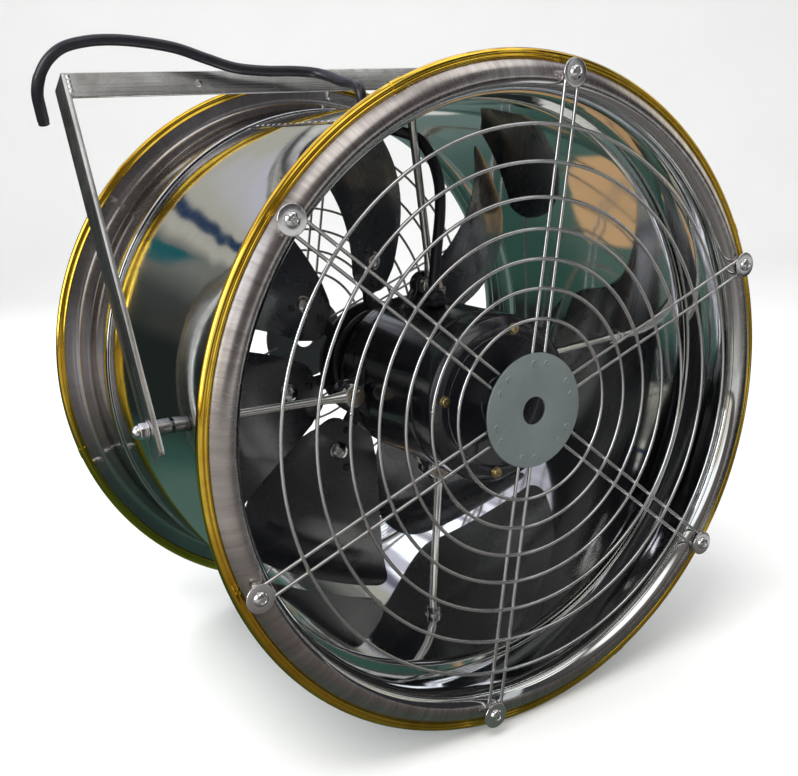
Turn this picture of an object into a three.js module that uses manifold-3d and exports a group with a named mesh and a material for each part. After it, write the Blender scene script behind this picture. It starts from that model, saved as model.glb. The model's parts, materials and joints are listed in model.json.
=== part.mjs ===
// Axial air mover: a round drum housing with flared mouths and wire guards,
// a drum motor held by four radial rods, a seven-blade impeller behind it,
// and a U-shaped stainless yoke that the drum pivots in.
//
// Working frame while modelling (millimetres): the origin is where the fan
// axis crosses the pivot axis; +Y runs along the fan axis to the rear (the
// motor end faces -Y), +X is the pivot axis, +Z is up. The finished group is
// moved so that its origin is the centre of the yoke's outer top face.
import * as THREE from 'three';
import { mergeVertices } from 'three/addons/utils/BufferGeometryUtils.js';
import Module from 'manifold-3d';

const wasm = await Module();
wasm.setup();

// ---------------------------------------------------------------- dimensions
const ROUND = 40;               // segments round the drum
const GAP = 0.3;                // clearance between neighbouring pieces

// drum
const FRONT_CREST_Y = -169;     // frontmost plane of the front mouth
const REAR_CREST_Y = 259;       // rearmost plane of the rear mouth
const SHELL_R = 265;            // outer radius of the centre shell
const SHEET = 1.5;              // sheet thickness
const SKIRT_DEPTH = 78;         // crest to the open end of a mouth's skirt
const MOUTH_R = 279;            // radius of the mouth's crest
const MOUTH_ROUND = 23.7;       // depth of the flare inside the crest
const LIP_R = 292.3;            // radius of the mouth's free lip
const LIP_BACK = 8;             // how far the lip falls back from the crest
const EDGE_R = 301;             // outermost radius, over the edge trim

// guards
const GUARD_BOLT_PCR = 284;     // bolt circle radius
const GUARD_TURN = 10.1;        // degrees from +Z towards +X of the first bolt
const WIRE_R = 1.5;             // guard wire radius
const GUARD_RINGS = [241, 211, 182, 156, 131, 106, 80];
const SPOKE_HALF = 6.8;         // half distance between the two wires of a spoke
const DISC_R = 51;
const DISC_BORE_R = 12.5;

// motor
const MOTOR_R = 78;
const MOTOR_FRONT_Y = -133;
const MOTOR_REAR_Y = 45;
const SHAFT_R = 10;
const COVER_SCREW_PCR = 66;
const EYE_R = 93;               // radius at which the rod eyes are bolted
const EYE_Y = -21;
const ROD_R = 4;

// impeller
const BLADES = 7;
const BLADE_TURN = 5;           // degrees of the first blade from +Z towards +X
const BLADE_ROOT_R = 74;
const BLADE_TIP_R = 256;
const BLADE_T = 3;

// yoke
const YOKE_LEAN = 27;           // degrees the yoke leans back at rest
const YOKE_HALF = 286;          // outer face of an arm from the fan axis
const YOKE_H = 335;             // pivot axis to outer top face
const YOKE_DROP = 28;           // arm length below the pivot axis
const STRAP_W = 32;
const STRAP_T = 5;
const BAR_LEG = 25;
const BAR_T = 3;
const BAR_HOLE_X = 158;

// cable
const CABLE_R = 5.5;
const GROMMET_Y = 38;           // wall grommet, just behind the top of the pivot plane
const GROMMET_TURN = -6.5;      // degrees from +Z towards +X

// ------------------------------------------------------------------- helpers
const DEG = Math.PI / 180;
const V2 = (x, y) => new THREE.Vector2(x, y);
const V3 = (x, y, z) => new THREE.Vector3(x, y, z);

// One closed indexed mesh with shared vertices, faces pointing out.
function weld(geometry) {
  let g = geometry.clone();
  for (const name of Object.keys(g.attributes)) if (name !== 'position') g.deleteAttribute(name);
  g = mergeVertices(g, 1e-3);
  const p = g.attributes.position;
  const idx = Array.from(g.index.array);
  const keep = [];
  let volume = 0;
  const a = V3(), b = V3(), c = V3();
  for (let i = 0; i < idx.length; i += 3) {
    const [i0, i1, i2] = [idx[i], idx[i + 1], idx[i + 2]];
    if (i0 === i1 || i1 === i2 || i0 === i2) continue;
    keep.push(i0, i1, i2);
    a.fromBufferAttribute(p, i0); b.fromBufferAttribute(p, i1); c.fromBufferAttribute(p, i2);
    volume += a.dot(b.cross(c));
  }
  if (volume < 0) for (let i = 0; i < keep.length; i += 3) [keep[i + 1], keep[i + 2]] = [keep[i + 2], keep[i + 1]];
  g.setIndex(keep);
  return g;
}

function solid(geometry) {
  const g = weld(geometry);
  return new wasm.Manifold(new wasm.Mesh({
    numProp: 3,
    vertProperties: new Float32Array(g.attributes.position.array),
    triVerts: new Uint32Array(g.index.array),
  }));
}

function fromSolid(manifold) {
  const mesh = manifold.getMesh();
  const pos = new Float32Array(mesh.numVert * 3);
  for (let i = 0; i < mesh.numVert; i++) for (let k = 0; k < 3; k++) pos[i * 3 + k] = mesh.vertProperties[i * mesh.numProp + k];
  const g = new THREE.BufferGeometry();
  g.setAttribute('position', new THREE.BufferAttribute(pos, 3));
  g.setIndex(new THREE.BufferAttribute(new Uint32Array(mesh.triVerts), 1));
  return g;
}

const join = (...parts) => fromSolid(parts.map((g) => (g.isBufferGeometry ? solid(g) : g)).reduce((s, t) => s.add(t)));
const cut = (body, ...tools) => fromSolid(tools.map(solid).reduce((s, t) => s.subtract(t), body.isBufferGeometry ? solid(body) : body));

const moved = (g, x, y, z) => g.clone().translate(x, y, z);
const turned = (g, degrees) => g.clone().rotateY(degrees * DEG); // from +Z towards +X
// solid of revolution about the fan axis from a closed profile of [radius, y]
const revolve = (profile, segments = ROUND) => {
  const pts = profile.map(([r, y]) => V2(r, y));
  if (profile[0][0] !== 0 || profile[profile.length - 1][0] !== 0) pts.push(pts[0].clone());
  return weld(new THREE.LatheGeometry(pts, segments));
};
const alongY = (r, y0, y1, segments = 16) => new THREE.CylinderGeometry(r, r, y1 - y0, segments).translate(0, (y0 + y1) / 2, 0);
const alongZ = (r, z0, z1, segments = 16) => new THREE.CylinderGeometry(r, r, z1 - z0, segments).rotateX(Math.PI / 2).translate(0, 0, (z0 + z1) / 2);
const alongX = (r, x0, x1, segments = 16) => new THREE.CylinderGeometry(r, r, x1 - x0, segments).rotateZ(Math.PI / 2).translate((x0 + x1) / 2, 0, 0);
const box = (x0, x1, y0, y1, z0, z1) => new THREE.BoxGeometry(x1 - x0, y1 - y0, z1 - z0).translate((x0 + x1) / 2, (y0 + y1) / 2, (z0 + z1) / 2);

// ----------------------------------------------------------------- materials
const material = (color, roughness, metalness) => new THREE.MeshStandardMaterial({ color, roughness, metalness });
const MAT = {
  mirror: material(0xc9cdca, 0.08, 1),
  satin: material(0xa9a79e, 0.32, 1),
  gold: material(0xc8a21e, 0.18, 1),
  wire: material(0xb4b6b3, 0.28, 1),
  disc: material(0x93a19b, 0.45, 0.7),
  bolt: material(0xd2d4d2, 0.2, 1),
  black: material(0x0c0c0f, 0.18, 0.1),
  blade: material(0x33363a, 0.42, 0.35),
  hub: material(0x17181a, 0.4, 0.4),
  rod: material(0xbcbdb8, 0.25, 1),
  zinc: material(0xa88d5c, 0.35, 0.9),
  brass: material(0xb79a4c, 0.3, 1),
  yoke: material(0x9c9f9c, 0.35, 1),
  rubber: material(0x111014, 0.55, 0),
  steel: material(0x7d7f82, 0.4, 1),
  iron: material(0x55585c, 0.6, 0.8),
};

const model = new THREE.Group();
function add(name, geometry, mat, parent = model) {
  const mesh = new THREE.Mesh(weld(geometry), mat);
  mesh.name = name;
  parent.add(mesh);
  return mesh;
}

// ---------------------------------------------------------------------- drum
// Centre shell: a plain cylinder whose ends sit inside the two mouth skirts.
{
  const y0 = FRONT_CREST_Y + SKIRT_DEPTH - 12;
  const y1 = REAR_CREST_Y - SKIRT_DEPTH + 12;
  const ri = SHELL_R - SHEET;
  let shell = solid(revolve([[ri, y0], [SHELL_R, y0], [SHELL_R, y1], [ri, y1]]));
  for (const a of [0, 90, 180, 270]) shell = shell.subtract(solid(turned(alongZ(ROD_R + 0.7, 255, 275, 12), a)));
  shell = shell.subtract(solid(turned(moved(alongZ(9.4, 250, 275, 12), 0, GROMMET_Y, 0), GROMMET_TURN)));
  add('drum_shell', fromSolid(shell), MAT.mirror);
}

// One mouth. u is the depth in from the crest; sign turns it for the rear end.
// The flare rises from the skirt to the crest and falls back to a free lip.
function mouthProfile() {
  const ri = SHELL_R + GAP, ro = ri + SHEET;
  const inner = [[ri, SKIRT_DEPTH]], outer = [];
  for (let i = 0; i <= 4; i++) {
    const t = (i / 4) * 90 * DEG;
    inner.push([MOUTH_R - (MOUTH_R - ri) * Math.cos(t), MOUTH_ROUND - MOUTH_ROUND * Math.sin(t)]);
    outer.push([MOUTH_R - (MOUTH_R - ro) * Math.cos(t), MOUTH_ROUND - (MOUTH_ROUND - SHEET) * Math.sin(t)]);
  }
  for (let i = 1; i <= 4; i++) {
    const t = i / 4, w = LIP_R - MOUTH_R;
    const r = MOUTH_R + w * t, u = LIP_BACK * t ** 1.8;
    const slope = (LIP_BACK * 1.8 * t ** 0.8) / w, k = SHEET / Math.hypot(1, slope);
    inner.push([r, u]);
    outer.push([r - slope * k, u + k]);
  }
  return [...inner, ...outer.reverse(), [ro, SKIRT_DEPTH]];
}
function guardBoltAngles() {
  return [0, 1, 2, 3, 4, 5].map((k) => GUARD_TURN + 60 * k);
}
function mouth(crestY, sign) {
  const body = revolve(mouthProfile().map(([r, u]) => [r, crestY + sign * u]));
  return cut(body, ...guardBoltAngles().map((a) => turned(moved(alongY(3.4, crestY - 6, crestY + 6, 10), 0, 0, GUARD_BOLT_PCR), a)));
}
add('front_bellmouth', mouth(FRONT_CREST_Y, 1), MAT.satin);
add('rear_bellmouth', mouth(REAR_CREST_Y, -1), MAT.satin);

// Edge trim: a pressed-on strip that wraps the mouth's free lip.
function trim(crestY, sign) {
  const p = [[292.8, 7.6], [294.6, 6.9], [297.4, 7.0], [299.9, 8.4], [EDGE_R, 10.8], [300.6, 13.4], [298.6, 15.2], [295.4, 15.2], [292.9, 13.6], [291.4, 11.2], [291.5, 9.6], [292.8, 8.5]];
  return revolve(p.map(([r, u]) => [r, crestY + sign * u]));
}
add('front_edge_trim', trim(FRONT_CREST_Y, 1), MAT.gold);
add('rear_edge_trim', trim(REAR_CREST_Y, -1), MAT.gold);

// -------------------------------------------------------------------- guards
// Spoke wires lie on the mouth's crest; rings and the disc lie outside them.
function guard(crestY, out) {
  const ys = crestY + out * (GAP + WIRE_R);
  const yr = ys + out * (2 * WIRE_R - 0.35);
  const tube = WIRE_R * 1.12;
  let g = null;
  const put = (geo) => { g = g ? g.add(solid(geo)) : solid(geo); };
  const wire = new THREE.CylinderGeometry(tube, tube, GUARD_BOLT_PCR - 42, 4, 1).rotateY(45 * DEG).rotateX(Math.PI / 2).translate(0, ys, (GUARD_BOLT_PCR + 42) / 2);
  for (const a of guardBoltAngles()) {
    put(turned(moved(wire, SPOKE_HALF, 0, 0), a));
    put(turned(moved(wire, -SPOKE_HALF, 0, 0), a));
    put(turned(new THREE.TorusGeometry(SPOKE_HALF, tube, 4, 8).rotateX(Math.PI / 2).translate(0, ys, GUARD_BOLT_PCR), a));
  }
  for (const r of GUARD_RINGS) put(new THREE.TorusGeometry(r, WIRE_R * 1.25, 3, r > 140 ? 24 : 18).rotateX(out * Math.PI / 2).rotateY((GUARD_TURN + (r > 140 ? 7.5 : 10)) * DEG).translate(0, yr, 0));
  return fromSolid(g);
}
function guardDisc(crestY, out) {
  const yb = crestY + out * (GAP + 2 * WIRE_R + 2 * GAP);
  const yf = yb + out * 2.4;
  return revolve([[DISC_BORE_R, yb], [DISC_R, yb], [DISC_R, yf], [DISC_BORE_R, yf]], 24);
}
// Screw with its wide washer: the washer holds a spoke's eye on the mouth.
function guardBolt(crestY, out, a) {
  const u = (v) => crestY + out * v;
  const w0 = GAP + 2 * WIRE_R + 2 * GAP;
  const profile = [[0, u(-10)], [2.9, u(-10)], [2.9, u(w0)], [12, u(w0)], [12, u(w0 + 1.6)], [6, u(w0 + 1.6)], [0, u(w0 + 5.2)]];
  return turned(moved(revolve(profile, 10), 0, 0, GUARD_BOLT_PCR), a);
}
for (const [end, y, out] of [['front', FRONT_CREST_Y, -1], ['rear', REAR_CREST_Y, 1]]) {
  add(`${end}_guard`, guard(y, out), MAT.wire);
  add(`${end}_guard_disc`, guardDisc(y, out), MAT.disc);
  guardBoltAngles().forEach((a, i) => add(`${end}_guard_bolt_${i + 1}`, guardBolt(y, out, a), MAT.bolt));
}

// --------------------------------------------------------------------- motor
const M = 24;
{
  const f = MOTOR_FRONT_Y, r = MOTOR_REAR_Y, ro = MOTOR_R;
  const shellY0 = -100, shellY1 = 15;
  // barrel with four lugs for the support rods
  let shell = solid(revolve([[74, shellY0], [ro, shellY0], [ro, shellY1], [74, shellY1]], M));
  for (const a of [0, 90, 180, 270]) {
    const lug = solid(turned(box(-13, 13, EYE_Y + 5.3, EYE_Y + 19, 74.6, EYE_R + 3), a)).add(solid(turned(moved(alongY(13, EYE_Y + 5.3, EYE_Y + 19, 14), 0, 0, EYE_R), a)));
    shell = shell.add(lug);
  }
  for (const a of [0, 90, 180, 270]) shell = shell.subtract(solid(turned(moved(alongY(4.3, EYE_Y, EYE_Y + 15, 10), 0, 0, EYE_R), a)));
  shell = shell.subtract(solid(moved(alongZ(6.6, 60, 90, 12), -12, -44, 0)));
  add('motor_shell', fromSolid(shell), MAT.black);

  const screwHoles = [0, 1, 2, 3].map((k) => turned(moved(alongY(2.4, f - 2, f + 11, 8), 0, 0, COVER_SCREW_PCR), 10 + 90 * k));
  const front = revolve([[11, f], [70, f], [76, f + 4], [ro, f + 12], [ro, shellY0 - GAP], [73.7, shellY0 - GAP], [73.7, shellY0 + 8], [69, shellY0 + 8], [69, f + 13], [27, f + 13], [27, f + 31], [22.2, f + 31], [22.2, f + 18.7], [11, f + 18.7]], M);
  add('motor_front_cover', cut(front, ...screwHoles), MAT.black);
  for (let k = 0; k < 4; k++) {
    const p = [[0, f + 10], [2, f + 10], [2, f - GAP], [4.6, f - GAP], [4.2, f - 3], [0, f - 3.8]];
    add(`motor_cover_screw_${k + 1}`, turned(moved(revolve(p, 10), 0, 0, COVER_SCREW_PCR), 10 + 90 * k), MAT.brass);
  }
  add('motor_rear_cover', revolve([[11, r], [58, r], [72, r - 7], [ro, r - 16], [ro, shellY1 + GAP], [73.7, shellY1 + GAP], [73.7, shellY1 - 8], [69, shellY1 - 8], [69, r - 13], [27, r - 13], [27, r - 31], [22.2, r - 31], [22.2, r - 18.7], [11, r - 18.7]], M), MAT.black);
  add('motor_stator', revolve([[42, -78], [73.6, -78], [73.6, -2], [42, -2]], 24), MAT.iron);
  add('motor_rotor_core', revolve([[SHAFT_R + GAP + 0.1, -76], [41.2, -76], [41.2, -4], [SHAFT_R + GAP + 0.1, -4]], 24), MAT.iron);
  add('front_bearing', revolve([[SHAFT_R + GAP + 0.1, f + 19], [21.8, f + 19], [21.8, f + 31], [SHAFT_R + GAP + 0.1, f + 31]], 24), MAT.steel);
  add('rear_bearing', revolve([[SHAFT_R + GAP + 0.1, r - 31], [21.8, r - 31], [21.8, r - 19], [SHAFT_R + GAP + 0.1, r - 19]], 24), MAT.steel);
  add('motor_shaft', revolve([[0, f + 4], [SHAFT_R, f + 4], [SHAFT_R, 140], [0, 140]], 24), MAT.steel);
}

// -------------------------------------------------- support rods and pivots
// Eye at the motor, a rod that leans to the pivot plane, a straight threaded
// end through the drum wall. The left and right ends are the pivot pins.
const BEND_R = 246;
function rod(endR) {
  const eye = solid(moved(alongY(11.5, EYE_Y - 5, EYE_Y + 5, 16), 0, 0, EYE_R));
  const from = V3(0, EYE_Y, EYE_R + 8), to = V3(0, 0, BEND_R);
  const len = from.distanceTo(to);
  const lean = Math.atan2(to.y - from.y, to.z - from.z);
  const bar = new THREE.CylinderGeometry(ROD_R, ROD_R, len, 8).rotateX(Math.PI / 2).rotateX(-lean).translate(0, (from.y + to.y) / 2, (from.z + to.z) / 2);
  const ball = new THREE.SphereGeometry(ROD_R + 0.02, 8, 5).translate(0, 0, BEND_R);
  return fromSolid(eye.add(solid(bar)).add(solid(ball)).add(solid(alongZ(ROD_R, BEND_R, endR, 8))).subtract(solid(moved(alongY(4.5, EYE_Y - 8, EYE_Y + 8, 10), 0, 0, EYE_R))));
}
// Hex lock nut with a domed end, over the rod's threaded end.
function domeNut(z0) {
  const hex = new THREE.CylinderGeometry(8.6, 8.6, 7, 6).rotateX(Math.PI / 2).translate(0, 0, z0 + 3.5);
  const dome = new THREE.SphereGeometry(6.6, 10, 6).scale(1, 1, 1.15).translate(0, 0, z0 + 6.6);
  const bore = alongZ(ROD_R + GAP, z0 - 1, z0 + 8, 10);
  return cut(fromSolid(solid(hex).add(solid(dome))), bore);
}
const RODS = [['top', 0, 272.8], ['right', 90, 293.8], ['bottom', 180, 272.8], ['left', 270, 293.8]];
for (const [name, a, end] of RODS) {
  add(`support_rod_${name}`, turned(rod(end), a), MAT.rod);
  const e = revolve([[0, EYE_Y + 15], [4, EYE_Y + 15], [4, EYE_Y - 5 - GAP], [7.6, EYE_Y - 5 - GAP], [7.6, EYE_Y - 10.5], [6.6, EYE_Y - 11.3], [0, EYE_Y - 11.3]], 12);
  add(`rod_eye_bolt_${name}`, turned(moved(e, 0, 0, EYE_R), a), MAT.zinc);
}
add('rod_nut_top', domeNut(SHELL_R + GAP), MAT.bolt);
add('rod_nut_bottom', turned(domeNut(SHELL_R + GAP), 180), MAT.bolt);
add('pivot_nut_right', turned(domeNut(YOKE_HALF + GAP), 90), MAT.bolt);
add('pivot_nut_left', turned(domeNut(YOKE_HALF + GAP), 270), MAT.bolt);

// ------------------------------------------------------------------ impeller
// Blade surface: s runs 0..1 from radius 100 to the tip, t runs 0..1 from the
// edge nearest the motor to the other edge. Returns angle (degrees) and y.
function bladePoint(r, t) {
  const s = (r - 100) / (BLADE_TIP_R - 100);
  const sc = Math.max(s, 0);
  const af = -22.4 + 6.7 * sc - 12.7 * sc * sc, ab = 16.6 + 14.7 * sc - 27 * sc * sc;
  const yf = 79.7 - 76.4 * sc + 66 * sc * sc, yb = 109.3 + 61.7 * sc - 21.3 * sc * sc;
  // the root narrows towards the hub
  const narrow = r < 104 ? 0.62 + 0.38 * Math.sqrt(Math.max(0, (r - BLADE_ROOT_R) / (104 - BLADE_ROOT_R))) : 1;
  const tt = 0.5 + (t - 0.5) * narrow;
  const camber = 6 * (1 - (2 * t - 1) ** 2) * (0.4 + 0.6 * sc);
  return { a: (af + (ab - af) * tt) * DEG, y: yf + (yb - yf) * tt + camber };
}
function bladeAt(r, t) {
  const { a, y } = bladePoint(r, t);
  return V3(r * Math.sin(a), y, r * Math.cos(a));
}
function sheetOnBlade(r0, r1, t0, t1, nr, nt, offset, thick) {
  const g = new THREE.BoxGeometry(1, 1, 1, nr, nt, 1);
  const p = g.attributes.position;
  for (let i = 0; i < p.count; i++) {
    const r = r0 + (p.getX(i) + 0.5) * (r1 - r0);
    const t = t0 + (p.getY(i) + 0.5) * (t1 - t0);
    const e = 0.5;
    const c = bladeAt(r, t);
    const dr = bladeAt(r + e, t).sub(bladeAt(r - e, t));
    const dt = bladeAt(r, t + 0.02).sub(bladeAt(r, t - 0.02));
    const n = dt.cross(dr).normalize();
    if (n.y < 0) n.negate();
    c.addScaledVector(n, offset + p.getZ(i) * thick);
    p.setXYZ(i, c.x, c.y, c.z);
  }
  return weld(g);
}
const rotor = new THREE.Group();
model.add(rotor);
{
  const blade = sheetOnBlade(BLADE_ROOT_R, BLADE_TIP_R, 0, 1, 6, 3, 0, BLADE_T);
  for (let k = 0; k < BLADES; k++) add(`blade_${k + 1}`, turned(blade, BLADE_TURN + (360 / BLADES) * k), MAT.blade, rotor);
  // hub: boss, web and one arm behind each blade root
  let hub = solid(revolve([[SHAFT_R + GAP, 90], [30, 90], [30, 98], [62, 98], [62, 104], [30, 104], [30, 122], [SHAFT_R + GAP, 122]], 20));
  const armSheet = sheetOnBlade(57, 130, 0.27, 0.73, 3, 1, BLADE_T / 2 + GAP + 4, 4);
  for (let k = 0; k < BLADES; k++) hub = hub.add(solid(turned(armSheet, BLADE_TURN + (360 / BLADES) * k)));
  hub = hub.subtract(solid(alongY(SHAFT_R + GAP, 60, 130, 24)));
  add('impeller_hub', fromSolid(hub), MAT.hub, rotor);
  add('hub_clamp_plate', revolve([[SHAFT_R + GAP, 76], [56, 76], [60, 78], [60, 80], [SHAFT_R + GAP, 80]], 20), MAT.hub, rotor);
  add('hub_end_nut', cut(new THREE.CylinderGeometry(17, 17, 12, 6).translate(0, 128.5, 0), alongY(SHAFT_R + GAP, 110, 140, 20)), MAT.steel, rotor);
}

// --------------------------------------------------------------------- cable
const CABLE_PATH = [
  [-12, -44, 82], [-12, -44, 94], [-10.5, -43, 104], [-4, -39, 128], [6, -33, 165], [12, -24, 190], [15, -8, 214],
  [11.5, 7, 231], [-4, 18, 239.5], [-20, 29, 243.5], [-28.4, 37, 250], [-29.5, 38, 258.5], [-30.6, 38, 268.3],
  [-31.4, 38.6, 275], [-31, 43, 281.5], [-28, 54, 285.5], [-27, 67, 287.5], [-29.9, 80, 290], [-34, 96, 295.5], [-42, 110, 300], [-60, 118.5, 302.5],
  [-92, 122.5, 303.5], [-122, 125, 307], [-149, 129, 316], [-176, 134, 326], [-205, 137.5, 331.5],
  [-233, 139, 334], [-258, 141.5, 333], [-280, 145.5, 327.5], [-293, 150.5, 317], [-300.5, 157, 303],
  [-302.5, 164, 289], [-300, 171, 276], [-297, 177, 262],
].map((p) => V3(...p));
{
  const curve = new THREE.CatmullRomCurve3(CABLE_PATH, false, 'centripetal');
  const ring = new THREE.Shape();
  for (let i = 0; i < 6; i++) {
    const a = (i / 6) * 2 * Math.PI;
    if (i === 0) ring.moveTo(CABLE_R * Math.cos(a), CABLE_R * Math.sin(a));
    else ring.lineTo(CABLE_R * Math.cos(a), CABLE_R * Math.sin(a));
  }
  ring.closePath();
  const cable = new THREE.ExtrudeGeometry(ring, { steps: 60, curveSegments: 1, bevelEnabled: false, extrudePath: curve });
  add('supply_cable', cable, MAT.rubber);
  const grommet = revolve([[7.1, 258.4], [12.8, 258.4], [12.8, 261.9], [8.7, 261.9], [8.7, 265.6], [12.8, 265.6], [11, 269.5], [7.1, 269.5]], 12).rotateX(Math.PI / 2);
  add('drum_cable_grommet', turned(moved(grommet, 0, GROMMET_Y, 0), GROMMET_TURN), MAT.rubber);
  const gland = revolve([[6.4, 78.4], [12, 78.4], [12, 84], [9, 88], [9, 92], [6.4, 92]], 12).rotateX(Math.PI / 2);
  add('motor_cable_gland', moved(gland, -12, -44, 0), MAT.rubber);
}

// ---------------------------------------------------------------------- yoke
// Two flat arms and a top bar of equal angle, welded into one U.
const lean = new THREE.Group();
lean.rotation.x = -YOKE_LEAN * DEG;
model.add(lean);
{
  const w = STRAP_W / 2, x = YOKE_HALF;
  let y = solid(box(-x, -x + STRAP_T, -w, w, -YOKE_DROP, YOKE_H));
  y = y.add(solid(box(x - STRAP_T, x, -w, w, -YOKE_DROP, YOKE_H)));
  y = y.add(solid(box(-x + 1, x - 1, -w, -w + BAR_T, YOKE_H - BAR_LEG, YOKE_H)));
  y = y.add(solid(box(-x + 1, x - 1, -w, -w + BAR_LEG, YOKE_H - BAR_T, YOKE_H)));
  for (const sx of [-1, 1]) y = y.subtract(solid(alongY(4, -w - 3, -w + BAR_T + 3, 12).translate(sx * BAR_HOLE_X, 0, YOKE_H - BAR_LEG / 2 - 1)));
  y = y.subtract(solid(alongX(ROD_R + 0.5, -x - 2, x + 2, 12)));
  add('yoke', fromSolid(y), MAT.yoke, lean);
}

// Move the origin to the centre of the yoke's outer top face.
const part = new THREE.Group();
{
  const yc = -STRAP_W / 2 + BAR_LEG / 2, c = Math.cos(YOKE_LEAN * DEG), s = Math.sin(YOKE_LEAN * DEG);
  model.position.set(0, -(yc * c + YOKE_H * s), -(-yc * s + YOKE_H * c));
  part.add(model);
}
part.updateMatrixWorld(true);

export default part;
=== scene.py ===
import json
import math
import bpy
import numpy as np
from mathutils import Vector, Matrix


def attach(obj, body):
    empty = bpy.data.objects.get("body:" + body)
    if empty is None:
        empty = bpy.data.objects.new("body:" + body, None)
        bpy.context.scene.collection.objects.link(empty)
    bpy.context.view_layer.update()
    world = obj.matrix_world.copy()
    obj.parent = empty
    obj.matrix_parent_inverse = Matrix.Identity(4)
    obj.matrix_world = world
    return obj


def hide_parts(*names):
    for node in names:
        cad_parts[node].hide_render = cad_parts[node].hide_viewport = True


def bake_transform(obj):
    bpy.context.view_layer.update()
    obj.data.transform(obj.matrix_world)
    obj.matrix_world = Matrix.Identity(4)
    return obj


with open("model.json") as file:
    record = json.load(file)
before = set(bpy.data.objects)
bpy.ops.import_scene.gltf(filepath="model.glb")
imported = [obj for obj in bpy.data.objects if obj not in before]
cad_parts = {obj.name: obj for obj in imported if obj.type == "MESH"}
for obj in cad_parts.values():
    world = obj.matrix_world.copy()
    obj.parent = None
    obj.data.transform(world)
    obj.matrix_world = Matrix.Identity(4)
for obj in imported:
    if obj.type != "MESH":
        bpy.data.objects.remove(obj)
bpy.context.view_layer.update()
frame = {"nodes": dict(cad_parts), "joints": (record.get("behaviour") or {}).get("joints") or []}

D = bpy.data
DEG = math.pi / 180

# Working frame of the numbers below: millimetres from the point where the fan
# axis crosses the pivot axis; x right, y to the rear, z up.
TILT = [j for j in frame["joints"] if j["name"] == "yoke_tilt"][0]
PIV = np.array(TILT["pos_m"], float)
LEAN = 27.0

FRONT_Y, REAR_Y = -169.0, 259.0
SHELL_R, SHEET, SKIRT = 265.0, 1.5, 78.0
MOUTH_R, MOUTH_ROUND, LIP_R, LIP_BACK, EDGE_R = 279.0, 23.7, 292.3, 8.0, 301.0
BOLT_R, TURN, WIRE_R = 284.0, 10.1, 1.6
RINGS = [241, 211, 182, 156, 131, 106, 80]
SPOKE = 6.8
BOLT_ANGLES = [TURN + 60 * k for k in range(6)]
EYE_R, EYE_Y = 93.0, -21.0

# ------------------------------------------------------------------ mesh code


def ry(v, deg):
    """turn about the fan axis, from +z towards +x"""
    a = deg * DEG
    v = np.asarray(v, float)
    c, s = math.cos(a), math.sin(a)
    return np.stack([v[:, 0] * c + v[:, 2] * s, v[:, 1], -v[:, 0] * s + v[:, 2] * c], 1)


def rx(v, deg):
    a = deg * DEG
    v = np.asarray(v, float)
    c, s = math.cos(a), math.sin(a)
    return np.stack([v[:, 0], v[:, 1] * c - v[:, 2] * s, v[:, 1] * s + v[:, 2] * c], 1)


def yoke_frame(v):
    """from the yoke's own upright frame to the leaning one"""
    return rx(v, -LEAN)


class Geo:
    """vertices in mm and faces, collected piece by piece"""

    def __init__(self):
        self.v = np.zeros((0, 3))
        self.f = []

    def add(self, part):
        v, f = part
        n = len(self.v)
        self.v = np.vstack([self.v, np.asarray(v, float)])
        self.f += [tuple(i + n for i in q) for q in f]
        return self


def move(part, x=0, y=0, z=0):
    return np.asarray(part[0], float) + np.array([x, y, z], float), part[1]


def turn(part, deg):
    return ry(part[0], deg), part[1]


def z_up(part):
    """a solid of revolution about y is stood along +z instead"""
    v = np.asarray(part[0], float)
    return np.stack([v[:, 0], -v[:, 2], v[:, 1]], 1), part[1]


def x_out(part):
    v = np.asarray(part[0], float)
    return np.stack([v[:, 1], -v[:, 0], v[:, 2]], 1), part[1]


def rounded(points, r, n=4, closed=True):
    """a polygon with its corners rounded by radius r (a number, or one for each corner)"""
    pts = [np.array(p, float) for p in points]
    m = len(pts)
    rr = list(r) if hasattr(r, "__len__") else [r] * m
    out = []
    for i in range(m):
        if (not closed and i in (0, m - 1)) or rr[i] <= 0:
            out.append(tuple(pts[i]))
            continue
        a, b, c = pts[i - 1], pts[i], pts[(i + 1) % m]
        u, w = a - b, c - b
        lu, lw = np.linalg.norm(u), np.linalg.norm(w)
        u, w = u / lu, w / lw
        cosang = float(np.clip(u @ w, -1, 1))
        half = math.acos(cosang) / 2
        if half > 1.52:
            out.append(tuple(b))
            continue
        t = min(rr[i] / math.tan(half), lu * 0.49, lw * 0.49)
        p0, p1 = b + u * t, b + w * t
        for k in range(n + 1):
            s = k / n
            q = (1 - s) ** 2 * p0 + 2 * s * (1 - s) * b + s * s * p1
            out.append(tuple(q))
    return out


def lathe(profile, seg=128, closed=True):
    """solid of revolution about y of a profile of (radius, y)"""
    p = [tuple(q) for q in profile]
    rings, v = [], []
    for r, y in p:
        if abs(r) < 1e-6:
            rings.append([len(v)])
            v.append((0.0, y, 0.0))
        else:
            start = len(v)
            for k in range(seg):
                a = 2 * math.pi * k / seg
                v.append((r * math.sin(a), y, r * math.cos(a)))
            rings.append(list(range(start, start + seg)))
    f = []
    pairs = list(zip(rings[:-1], rings[1:]))
    if closed and not (len(rings[0]) == 1 and len(rings[-1]) == 1):
        pairs.append((rings[-1], rings[0]))
    for a, b in pairs:
        if len(a) == 1 and len(b) == 1:
            continue
        for k in range(seg):
            k2 = (k + 1) % seg
            if len(a) == 1:
                f.append((a[0], b[k2], b[k]))
            elif len(b) == 1:
                f.append((a[k], a[k2], b[0]))
            else:
                f.append((a[k], a[k2], b[k2], b[k]))
    return np.array(v), f


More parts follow.
